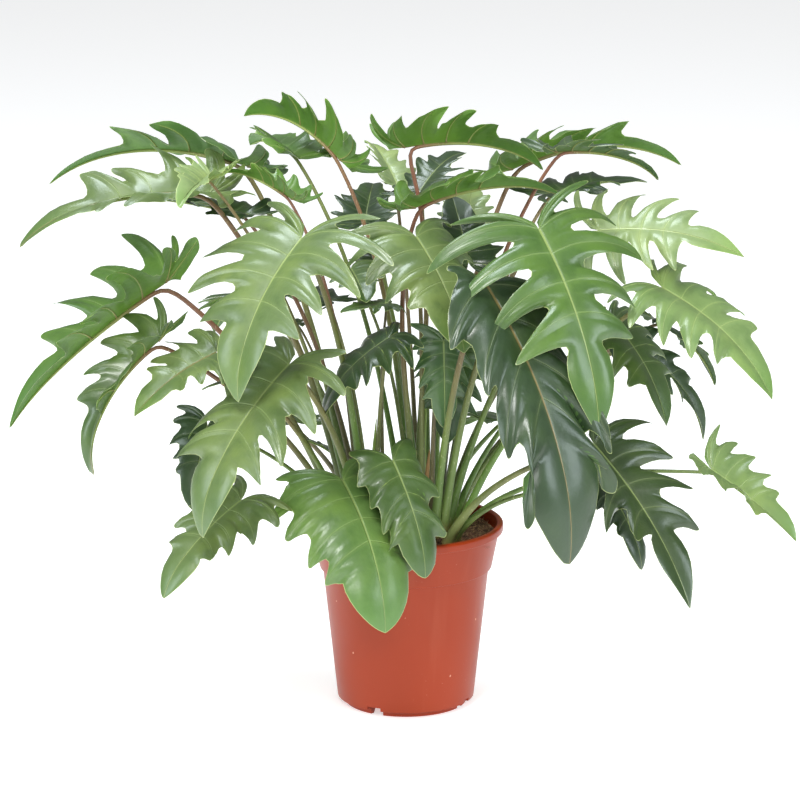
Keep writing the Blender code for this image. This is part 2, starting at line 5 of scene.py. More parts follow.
import bmesh
import bpy
import numpy as np
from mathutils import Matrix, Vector


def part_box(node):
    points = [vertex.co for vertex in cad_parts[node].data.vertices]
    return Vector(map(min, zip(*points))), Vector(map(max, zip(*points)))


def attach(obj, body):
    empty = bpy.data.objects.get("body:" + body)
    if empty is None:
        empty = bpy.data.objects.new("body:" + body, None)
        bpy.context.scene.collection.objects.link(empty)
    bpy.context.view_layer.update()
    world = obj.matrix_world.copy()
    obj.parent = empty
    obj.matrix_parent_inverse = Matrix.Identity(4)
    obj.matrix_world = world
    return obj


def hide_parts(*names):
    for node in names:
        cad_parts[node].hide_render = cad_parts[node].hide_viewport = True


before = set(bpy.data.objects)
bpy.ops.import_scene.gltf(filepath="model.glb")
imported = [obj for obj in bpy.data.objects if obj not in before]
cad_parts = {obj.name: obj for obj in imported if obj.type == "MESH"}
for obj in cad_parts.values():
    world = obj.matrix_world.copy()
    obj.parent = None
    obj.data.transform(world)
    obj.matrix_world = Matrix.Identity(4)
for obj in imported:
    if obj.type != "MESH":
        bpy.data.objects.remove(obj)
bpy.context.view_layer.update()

# ---------------------------------------------------------------------------------------------
# Studio: a white floor, soft boxes above and at the sides, and a long lens a little above the
# plant. The floor glows faintly, as a sweep lit from below does, so that only soft shade is left.

CAMERA_PLACE = (0, -5.0, 1.596)
CAMERA_DOWN = 14.5
CAMERA_LEFT = 0.0645
LENS = 240
FLOOR_RADIUS = 16.0
FLOOR_GLOW = 0.55
ROOM_LIGHT = 0.22

# Soft boxes: place, height aimed at, width, height, power and colour.
SOFT_BOXES = {
    "key_box": ((-0.5, -1.5, 2.5), 0.35, 0.9, 0.7, 54, (1, 1, 1)),
    "top_box": ((-0.4, 0.6, 2.7), 0.35, 1.2, 0.9, 46, (0.86, 0.94, 1.0)),
    "front_box": ((0.5, -3.4, 1.9), 0.30, 2.0, 0.7, 48, (1, 1, 1)),
    "left_box": ((-2.4, -0.9, 1.2), 0.35, 0.9, 1.6, 30, (0.84, 0.93, 1.0)),
    "right_box": ((2.4, -1.1, 1.3), 0.35, 0.9, 1.6, 34, (0.84, 0.93, 1.0)),
}


def linear(red, green, blue):
    """A colour given the way a paint chart does, 0 to 255 a channel, as light."""
    parts = [value / 255 for value in (red, green, blue)]
    return tuple(((part + 0.055) / 1.055) ** 2.4 if part > 0.04045 else part / 12.92 for part in parts)


def put_in(name, data):
    """A new object in the scene, at the origin."""
    item = bpy.data.objects.new(name, data)
    bpy.context.scene.collection.objects.link(item)
    return item


class Value:
    """A socket whose sums can be written with Python's own signs."""

    def __init__(self, nodes, socket):
        self.nodes = nodes
        self.socket = socket

    def maths(self, operation, one, two):
        return self.nodes.node("ShaderNodeMath", {"operation": operation}, {0: one, 1: two})

    def __add__(self, other):
        return self.maths("ADD", self, other)

    def __radd__(self, other):
        return self.maths("ADD", other, self)

    def __sub__(self, other):
        return self.maths("SUBTRACT", self, other)

    def __rsub__(self, other):
        return self.maths("SUBTRACT", other, self)

    def __mul__(self, other):
        return self.maths("MULTIPLY", self, other)

    def __rmul__(self, other):
        return self.maths("MULTIPLY", other, self)

    def below(self, low, high):
        """1 where the value is under low, easing to 0 at high."""
        return self.nodes.node("ShaderNodeMapRange", {"interpolation_type": "SMOOTHSTEP"},
                               {"Value": self, "From Min": low, "From Max": high,
                                "To Min": 1.0, "To Max": 0.0})

    def above(self, low, high):
        """0 where the value is under low, easing to 1 at high."""
        return 1 - self.below(low, high)


class Nodes:
    """A node tree in the making."""

    def node(self, kind, settings=None, values=None, out=0):
        """A node with its settings, and its sockets' values or links; gives one of its outputs."""
        made = self.tree.nodes.new(kind)
        for key, value in (settings or {}).items():
            setattr(made, key, value)
        for key, value in (values or {}).items():
            self.feed(made.inputs[key], value)
        return Value(self, made.outputs[out])

    def feed(self, socket, value):
        if isinstance(value, Value):
            self.tree.links.new(value.socket, socket)
        elif socket.type == "RGBA":
            socket.default_value = (*value, 1)
        else:
            socket.default_value = value


class Finish(Nodes):
    """A material, and the nodes that make it."""

    def __init__(self, name, rough=0.5):
        self.material = bpy.data.materials.new(name)
        self.material.use_nodes = True
        self.tree = self.material.node_tree
        self.shader = self.tree.nodes["Principled BSDF"]
        self.set(Roughness=rough)

    def set(self, **sockets):
        for key, value in sockets.items():
            self.feed(self.shader.inputs[key.replace("_", " ")], value)

    def place(self, stretch=(1, 1, 1)):
        """Object coordinates, stretched along the axes."""
        spot = self.node("ShaderNodeTexCoord", out=3)
        return self.node("ShaderNodeVectorMath", {"operation": "MULTIPLY"}, {0: spot, 1: stretch})

    def height(self):
        return self.node("ShaderNodeSeparateXYZ", None, {0: self.place()}, 2)

    def noise(self, scale, detail=2.0, rough=0.5, stretch=(1, 1, 1)):
        return self.node("ShaderNodeTexNoise", None, {"Vector": self.place(stretch), "Scale": scale,
                                                      "Detail": detail, "Roughness": rough})

    def read(self, name, colour=False):
        """An attribute of the mesh, as a number or a colour."""
        return self.node("ShaderNodeAttribute", {"attribute_name": name}, None, 0 if colour else 2)

    def blend(self, amount, one, two, kind="MIX"):
        """Colour one turning into colour two."""
        return self.node("ShaderNodeMix", {"data_type": "RGBA", "blend_type": kind},
                         {0: amount, 6: one, 7: two}, 2)

    def tinted(self, colour, factors):
        """A colour with its red, green and blue multiplied."""
        return self.blend(1.0, colour, factors, "MULTIPLY")

    def bump(self, height, distance):
        self.set(Normal=self.node("ShaderNodeBump", None,
                                  {"Height": height, "Distance": distance, "Strength": 1.0}))


def add_light(name, place, aim, width, height, power, colour):
    data = bpy.data.lights.new(name, "AREA")
    data.shape = "RECTANGLE"
    data.size = width
    data.size_y = height
    data.energy = power
    data.color = colour
    item = put_in(name, data)
    item.location = place
    item.rotation_euler = (Vector((0, 0, aim)) - Vector(place)).to_track_quat("-Z", "Y").to_euler()


def place_camera():
    item = put_in("camera", bpy.data.cameras.new("camera"))
    item.data.lens = LENS
    item.data.sensor_width = 36
    item.data.clip_end = 100
    item.location = CAMERA_PLACE
    item.rotation_euler = (math.radians(90 - CAMERA_DOWN), 0, math.radians(CAMERA_LEFT))
    bpy.context.scene.camera = item


def lay_floor():
    mesh = bpy.data.meshes.new("floor")
    shape = bmesh.new()
    bmesh.ops.create_circle(shape, cap_ends=True, segments=64, radius=FLOOR_RADIUS)
    shape.to_mesh(mesh)
    shape.free()
    paint = Finish("floor_white", 0.9)
    paint.set(Base_Color=(0.82, 0.82, 0.82), Specular_IOR_Level=0.1)
    paint.set(Emission_Color=(1, 1, 1), Emission_Strength=FLOOR_GLOW)
    mesh.materials.append(paint.material)
    floor = put_in("floor", mesh)


def hang_lights():
    world = bpy.data.worlds.new("studio")
    bpy.context.scene.world = world
    world.use_nodes = True
    background = world.node_tree.nodes["Background"]
    background.inputs["Color"].default_value = (1, 1, 1, 1)
    background.inputs["Strength"].default_value = ROOM_LIGHT
    for name, values in SOFT_BOXES.items():
        add_light(name, *values)
    bpy.context.scene.view_settings.view_transform = "Standard"


place_camera()
lay_floor()
hang_lights()

# ---------------------------------------------------------------------------------------------
# Pot: a thin injection-moulded nursery pot of terracotta-coloured polypropylene, with a stepped
# collar, a rolled lip, drain holes in its floor and notches in its foot. It is one moulding.

POT_SIDES = 144
pot_low, pot_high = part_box("pot")
RIM = pot_high[0]
POT_TOP = pot_high[2]
WALL = 0.0022
BASE = 0.067
FOOT = 0.0595
FOOT_WIDTH = 0.007
FOOT_HEIGHT = 0.006
FOOT_DISH = 0.004
COLLAR_STEP = POT_TOP - 0.0445
LIP_STEP = POT_TOP - 0.0085
LIP_REACH = 0.006
COLLAR_LOW = RIM - 0.0112
COLLAR_HIGH = RIM - 0.0040
BODY_TOP = RIM - 0.014
POT_FLOOR = FOOT_HEIGHT + WALL + 0.001
DRAIN_COUNT = 6
DRAIN_CIRCLE = 0.038
DRAIN_RADIUS = 0.005
NOTCH_WIDTHS = (0.22, 0.16, 0.22, 0.16)
NOTCH_START = -118
NOTCH_HEIGHT = FOOT_HEIGHT + 0.0035
POT_CREASE = 38


def piece_from(name, points, faces, material=None, angle=40):
    """A smooth-shaded object at the origin, with its faces turned outwards."""
    mesh = bpy.data.meshes.new(name)
    mesh.from_pydata([tuple(point) for point in points], [], faces)
    shape = bmesh.new()
    shape.from_mesh(mesh)
    bmesh.ops.recalc_face_normals(shape, faces=shape.faces[:])
    shape.to_mesh(mesh)
    shape.free()
    mesh.shade_smooth()
    mesh.set_sharp_from_angle(angle=math.radians(angle))
    if material:
        mesh.materials.append(material)
    return put_in(name, mesh)


def rounded(corners, steps=5):
    """An outline of (radius, height, rounding) corners, each rounded by its own amount."""
    outline = []
    for i, (x, y, cut) in enumerate(corners):
        spot = Vector((x, y))
        if cut == 0 or i in (0, len(corners) - 1):
            outline.append((x, y))
            continue
        before = Vector(corners[i - 1][:2]) - spot
        after = Vector(corners[i + 1][:2]) - spot
        cut = min(cut, before.length * 0.45, after.length * 0.45)
        start = spot + before.normalized() * cut
        end = spot + after.normalized() * cut
        for k in range(steps + 1):
            t = k / steps
            point = start * (1 - t) ** 2 + spot * 2 * t * (1 - t) + end * t * t
            outline.append((point.x, point.y))
    return outline


def turned(name, outline, sides, material=None, centre=(0, 0)):
    """An outline of (radius, height) spun about an upright axis; zero radius makes a pole."""
    points = []
    rings = []
    for radius, height in outline:
        count = 1 if radius == 0 else sides
        rings.append([len(points) + k for k in range(count)])
        for k in range(count):
            turn = 2 * math.pi * k / sides
            points.append((centre[0] + radius * math.cos(turn),
                           centre[1] + radius * math.sin(turn), height))
    faces = []
    for lower, upper in zip(rings, rings[1:]):
        for k in range(sides):
            a, b = lower[k % len(lower)], lower[(k + 1) % len(lower)]
            c, d = upper[(k + 1) % len(upper)], upper[k % len(upper)]
            faces.append(tuple(dict.fromkeys([a, b, c, d])))
    return piece_from(name, points, faces, material)


def baked(item):
    """The item's mesh with its modifiers carried out; they are taken off it."""
    graph = bpy.context.evaluated_depsgraph_get()
    mesh = bpy.data.meshes.new_from_object(item.evaluated_get(graph))
    item.modifiers.clear()
    return mesh


def cut_away(item, tool):
    """Cut the tool out of item for good."""
    step = item.modifiers.new("cut", "BOOLEAN")
    step.operation = "DIFFERENCE"
    step.solver = "EXACT"
    step.object = tool
    bpy.context.view_layer.update()
    item.data = baked(item)
    bpy.data.objects.remove(tool, do_unlink=True)


def pot_outline():
    """The wall's section, from the middle of the underside out, up, over the lip and back inside."""
    corners = [
        (0, 0, 0), (0.020, 0, 0), (0.022, FOOT_DISH, 0.001), (FOOT - FOOT_WIDTH, FOOT_DISH, 0.001),
        (FOOT - FOOT_WIDTH + 0.002, 0, 0.0005), (FOOT, 0, 0.0008), (FOOT + 0.0005, FOOT_HEIGHT, 0.0004),
        (BASE - 0.0004, FOOT_HEIGHT, 0.0004), (BASE, FOOT_HEIGHT + 0.003, 0.0022),
        (BODY_TOP, COLLAR_STEP, 0.0005), (COLLAR_LOW, COLLAR_STEP, 0.0009),
        (COLLAR_HIGH, LIP_STEP, 0.0012), (RIM, LIP_STEP, 0.0022), (RIM, POT_TOP, 0.0032),
        (RIM - LIP_REACH, POT_TOP, 0.0020), (COLLAR_HIGH - WALL, LIP_STEP - 0.003, 0.0015),
        (COLLAR_LOW - WALL, COLLAR_STEP + 0.003, 0.001), (BODY_TOP - WALL, COLLAR_STEP - 0.001, 0.001),
        (BASE - WALL - 0.001, POT_FLOOR, 0.002), (0, POT_FLOOR, 0),
    ]
    return rounded(corners)


def notch_tool(turn, wide):
    """A block that cuts a foot notch and the wall's lower edge above it."""
    points = []
    for height in (-0.01, NOTCH_HEIGHT):
        for radius in (FOOT - 0.009, BASE + 0.01):
            for side in (-0.5, 0.5):
                angle = turn + side * wide
                points.append((radius * math.cos(angle), radius * math.sin(angle), height))
    faces = [(0, 1, 3, 2), (4, 6, 7, 5), (0, 4, 5, 1), (2, 3, 7, 6), (0, 2, 6, 4), (1, 5, 7, 3)]
    return piece_from("notch", points, faces)


def terracotta_plastic():
    """Orange polypropylene: even colour, a satin moulded sheen, fine scuffs and a few pale nicks."""
    paint = Finish("terracotta_plastic", 0.34)
    cloud = paint.noise(9, 3)
    base = paint.blend(cloud, linear(150, 49, 14), linear(158, 56, 20))
    streak = paint.noise(38, 3, 0.6, (1, 1, 0.06))
    base = paint.blend(streak.above(0.55, 0.8) * 0.18, base, linear(184, 92, 64))
    nick = paint.noise(110, 1).above(0.77, 0.79)
    dust = paint.noise(420, 2).above(0.70, 0.78) * paint.noise(14, 2).above(0.50, 0.66)
    base = paint.blend(nick * 0.6 + dust * 0.25, base, linear(244, 190, 160))
    height = paint.height()
    soil_mark = height.above(POT_TOP - 0.022, POT_TOP - 0.004) * paint.noise(60, 4).above(0.62, 0.74)
    paint.set(Base_Color=paint.blend(soil_mark * 0.5, base, linear(92, 60, 44)))
    paint.set(Roughness=0.30 + paint.noise(26, 4) * 0.16 + nick * 0.3)
    paint.set(Coat_Weight=0.06, Coat_Roughness=0.12, Specular_IOR_Level=0.3)
    paint.bump(paint.noise(900, 2) * 0.3 + streak * 0.4, 0.00012)
    return paint.material


def make_pot():
    pot = turned("nursery_pot", pot_outline(), POT_SIDES)
    for k in range(DRAIN_COUNT):
        turn = 2 * math.pi * (k + 0.5) / DRAIN_COUNT
        spot = (DRAIN_CIRCLE * math.cos(turn), DRAIN_CIRCLE * math.sin(turn))
        sleeve = [(0, -0.01), (DRAIN_RADIUS, -0.01), (DRAIN_RADIUS, 0.03), (0, 0.03)]
        cut_away(pot, turned("drain", sleeve, 24, None, spot))
    for k, wide in enumerate(NOTCH_WIDTHS):
        cut_away(pot, notch_tool(math.radians(NOTCH_START + 90 * k), wide))
    pot.data.materials.clear()
    pot.data.materials.append(terracotta_plastic())
    pot.data.shade_smooth()
    pot.data.set_sharp_from_angle(angle=math.radians(POT_CREASE))
    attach(pot, "root")
    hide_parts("pot")


make_pot()

# ---------------------------------------------------------------------------------------------
# Planting mix: dark peat with coir fibre and bark crumbs, filled to a finger under the rim and
# lumpy from watering. The fibres and crumbs lie loose on its surface.

MIX_SIDES = 120
MIX_RINGS = 46
soil_low, soil_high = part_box("soil")
SOIL_TOP = 0.168
SOIL_EDGE = soil_high[0]
FIBRE_DENSITY = 90000
FIBRE_SCALE = (0.35, 1.25)
FIBRE_LEAN = 0.5
CRUMB_DENSITY = 110000
CRUMB_SCALE = (0.3, 1.3)
LUMP_SEED = 11
LUMP_SIZES = (70, 110, 190, 330, 560, 900)
LUMP_HEIGHT = 0.055
RIM_RISE = 0.003
SKIN = 0.001


def lumps(x, y):
    """Height of the loose surface over the level, from waves of many sizes and directions."""
    chance = np.random.default_rng(LUMP_SEED)
    height = np.zeros_like(x)
    for size in LUMP_SIZES:
        for _ in range(4):
            turn, phase = chance.uniform(0, 2 * math.pi, 2)
            across = x * math.cos(turn) + y * math.sin(turn)
            height += LUMP_HEIGHT / size * np.sin(size * across + phase)
    return height


def make_mix():
    """The lumpy top, and a plain side and underside close inside the pot's wall."""
    shares = np.linspace(0, 1, MIX_RINGS)
    turns = 2 * math.pi * np.arange(MIX_SIDES) / MIX_SIDES
    radius = SOIL_EDGE * shares[1:, None] * np.ones(MIX_SIDES)
    x = radius * np.cos(turns)
    y = radius * np.sin(turns)
    z = SOIL_TOP + lumps(x, y) + RIM_RISE * (radius / SOIL_EDGE) ** 6 - SKIN
    top = np.stack([x, y, z], axis=-1)
    points = [(0, 0, SOIL_TOP - SKIN)] + top.reshape(-1, 3).tolist()
    low = soil_low[2] + 0.0002
    side = ((BODY_TOP - WALL - SKIN, COLLAR_STEP), (BASE - WALL - 0.003, low))
    for reach, height in side:
        points += [(reach * math.cos(turn), reach * math.sin(turn), height) for turn in turns]
    points.append((0, 0, low))
    last = 1 + (MIX_RINGS + len(side) - 2) * MIX_SIDES
    faces = []
    for k in range(MIX_SIDES):
        follow = (k + 1) % MIX_SIDES
        faces.append((0, 1 + k, 1 + follow))
        for a in range(1, last, MIX_SIDES):
            b = a + MIX_SIDES
            faces.append((a + k, b + k, b + follow, a + follow))
        faces.append((last + k, len(points) - 1, last + follow))
    return piece_from("planting_mix", points, faces, planting_mix(), 80)


def planting_mix():
    """Peat: dark brown to red-brown, with pale crumbs and nearly black patches, all laid out by noise."""
    paint = Finish("planting_mix", 0.95)
    base = paint.blend(paint.noise(160, 5, 0.65), linear(52, 34, 26), linear(150, 108, 82))
    base = paint.blend(paint.noise(900, 3).above(0.56, 0.72) * 0.7, base, linear(184, 146, 116))
    paint.set(Base_Color=paint.blend(paint.noise(60, 3).below(0.36, 0.52) * 0.6, base, linear(24, 16, 12)))
    paint.set(Specular_IOR_Level=0.25)
    paint.bump(paint.noise(700, 4, 0.7), 0.0012)
    return paint.material


def coir_fibre():
    """Dry coir and bark: straw to red-brown, one shade to a strand."""
    paint = Finish("coir_fibre", 0.85)
    base = paint.blend(paint.read("shade"), linear(76, 50, 36), linear(204, 166, 126))
    paint.set(Base_Color=paint.blend(paint.noise(500, 3) * 0.4, base, linear(50, 34, 24)))
    return paint.material


class Grower(Nodes):
    """A Geometry Nodes tree with named inputs."""

    def __init__(self, name, inputs):
        self.tree = bpy.data.node_groups.new(name, "GeometryNodeTree")
        face = self.tree.interface
        face.new_socket("Geometry", in_out="INPUT", socket_type="NodeSocketGeometry")
        face.new_socket("Geometry", in_out="OUTPUT", socket_type="NodeSocketGeometry")
        for label, (kind, value) in inputs.items():
            socket = face.new_socket(label, in_out="INPUT", socket_type="NodeSocket" + kind)
            if value is not None:
                socket.default_value = value
        self.entry = self.tree.nodes.new("NodeGroupInput")
        self.exit = self.tree.nodes.new("NodeGroupOutput")

    def given(self, label):
        return Value(self, self.entry.outputs[label])

    def joined(self, *parts):
        both = self.node("GeometryNodeJoinGeometry")
        for part in parts:
            self.feed(both.socket.node.inputs[0], part)
        return both

    def painted(self, geometry, label):
        return self.node("GeometryNodeSetMaterial", None,
                         {"Geometry": geometry, "Material": self.given(label)})

    def finish(self, geometry):
        self.feed(self.exit.inputs[0], self.node("GeometryNodeRealizeInstances", None, {0: geometry}))
        return self.tree


def grown(item, tree, **values):
    """The mesh that the tree makes of item, as plain geometry."""
    step = item.modifiers.new("grow", "NODES")
    step.node_group = tree
    sockets = [socket for socket in tree.interface.items_tree if socket.in_out == "INPUT"]
    labels = {socket.name: socket.identifier for socket in sockets}
    for label, value in values.items():
        step[labels[label.replace("_", " ")]] = value
    return baked(item)


def litter_tree():
    """Fibres and crumbs strewn over the faces that look up."""
    grow = Grower("litter", {"Fibre Density": ("Float", 0.0), "Crumb Density": ("Float", 0.0),
                             "Fibre Length": ("Float", 0.008), "Fibre Radius": ("Float", 0.0002),
                             "Crumb Size": ("Float", 0.001), "Seed": ("Int", 3),
                             "Material": ("Material", None)})
    normal = grow.node("GeometryNodeInputNormal")
    rise = grow.node("ShaderNodeSeparateXYZ", None, {0: normal}, 2)
    upward = grow.node("FunctionNodeCompare", {"operation": "GREATER_THAN"}, {0: rise, 1: 0.5})
    seed = grow.given("Seed")

    def chance(low, high, values=None):
        return grow.node("FunctionNodeRandomValue", {"data_type": "FLOAT_VECTOR"},
                         {0: low, 1: high, **(values or {})})

    def strewn(density, shape, scale, lean):
        points = grow.node("GeometryNodeDistributePointsOnFaces", None,
                           {"Mesh": grow.given("Geometry"), "Selection": upward,
                            "Density": grow.given(density), "Seed": seed})
        turn = chance((-lean, -lean, -math.pi), (lean, lean, math.pi), {"Seed": seed})
        size = chance((scale[0],) * 3, (scale[1],) * 3, {"Seed": seed})
        return grow.node("GeometryNodeInstanceOnPoints", None,
                         {"Points": points, "Instance": shape, "Rotation": turn, "Scale": size})

    middle = grow.node("ShaderNodeCombineXYZ", None,
                       {0: 0.0, 1: grow.given("Fibre Length"), 2: 0.0006})
    half = grow.node("ShaderNodeVectorMath", {"operation": "MULTIPLY"}, {0: middle, 1: (0, 0.5, 1)})
    far = grow.node("ShaderNodeVectorMath", {"operation": "MULTIPLY_ADD"},
                    {0: middle, 1: (0, 1, 0), 2: (0.0022, 0, 0.0002)})
    arc = grow.node("GeometryNodeCurveQuadraticBezier", None,
                    {"Resolution": 5, "Start": (0, 0, 0), "Middle": half, "End": far})
    ring = grow.node("GeometryNodeCurvePrimitiveCircle", None,
                     {"Resolution": 4, "Radius": grow.given("Fibre Radius")})
    strand = grow.node("GeometryNodeCurveToMesh", None,
                       {"Curve": arc, "Profile Curve": ring, "Fill Caps": True})
    ball = grow.node("GeometryNodeMeshIcoSphere", None,
                     {"Radius": grow.given("Crumb Size"), "Subdivisions": 1})
    crumb = grow.node("GeometryNodeSetPosition", None,
                      {"Geometry": ball, "Offset": chance((-0.0004,) * 3, (0.0004,) * 3)})
    both = grow.joined(strewn("Fibre Density", strand, FIBRE_SCALE, FIBRE_LEAN),
                       strewn("Crumb Density", crumb, CRUMB_SCALE, math.pi))
    whole = grow.node("GeometryNodeRealizeInstances", None, {0: both})
    island = grow.node("GeometryNodeInputMeshIsland")
    shade = grow.node("FunctionNodeRandomValue", {"data_type": "FLOAT"}, {2: 0.0, 3: 1.0, "ID": island}, 1)
    marked = grow.node("GeometryNodeStoreNamedAttribute", {"data_type": "FLOAT", "domain": "POINT"},
                       {"Geometry": whole, "Name": "shade", "Value": shade})
    return grow.finish(grow.painted(marked, "Material"))


mix = make_mix()
litter = put_in("mix_litter", grown(mix, litter_tree(), Fibre_Density=FIBRE_DENSITY,
                                    Crumb_Density=CRUMB_DENSITY, Material=coir_fibre()))
for item in (mix, litter):
    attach(item, "root")
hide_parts("soil")

# ---------------------------------------------------------------------------------------------
# Crowns: three short woody stems of the plant itself, ringed with the scars of old leaves. They
# are rooted in the planting mix and stand a little out of it.

CROWN_RADIUS = 0.0065
CROWN_RISE = 0.018
CROWN_DEPTH = 0.012
CROWN_GAP = 0.0004
CROWN_SIDES = 32
CROWN_LEVELS = 40
CROWN_SCARS = 5
SCAR_DEPTH = 0.14
CROWN_TAPER = 0.4
TAPER_START = 0.55
CROWN_SPACING = 0.033
CROWNS = {"A": 190, "B": 60, "C": 305}


def crown_spot(key):
    """Middle of a crown, at the level of the mix."""
    turn = math.radians(CROWNS[key])
    return np.array((CROWN_SPACING * math.cos(turn), CROWN_SPACING * math.sin(turn), SOIL_TOP))


def crown_bark():
    """Grey-brown bark with pale scars and a green cast near the top."""
    paint = Finish("crown_bark", 0.8)
    height = paint.height()
    base = paint.blend(paint.noise(260, 4, 0.6, (1, 1, 3)), linear(70, 52, 34), linear(150, 122, 84))
    green = height.above(SOIL_TOP + 0.004, SOIL_TOP + CROWN_RISE)
    paint.set(Base_Color=paint.blend(green * 0.6, base, linear(112, 122, 58)))
    paint.bump(paint.noise(500, 4, 0.6, (1, 1, 4)), 0.0008)
    return paint.material


def make_crown(number, key, bark):
    """The stem itself: bulges between the scars, on the model's own outline."""
    spot = crown_spot(key)
    low = SOIL_TOP - CROWN_DEPTH
    outline = [(0, low + CROWN_GAP), (CROWN_RADIUS * 0.8, low + CROWN_GAP)]
    for k in range(CROWN_LEVELS + 1):
        share = k / CROWN_LEVELS
        ring = 0.5 + 0.5 * math.cos(2 * math.pi * share * CROWN_SCARS)
        taper = 1 - CROWN_TAPER * max(0, share - TAPER_START) / (1 - TAPER_START)
        outline.append((CROWN_RADIUS * taper * (1 - SCAR_DEPTH + SCAR_DEPTH * ring),
                        low + 0.003 + (CROWN_RISE + CROWN_DEPTH - 0.0035) * share))
    outline.append((0, SOIL_TOP + CROWN_RISE))
    stem = turned("crown_stem_%d" % number, outline, CROWN_SIDES, bark, tuple(spot[:2]))
    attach(stem, "root")
    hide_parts("crown_%d" % number)


bark = crown_bark()
for number, key in enumerate(CROWNS, 1):
    make_crown(number, key, bark)
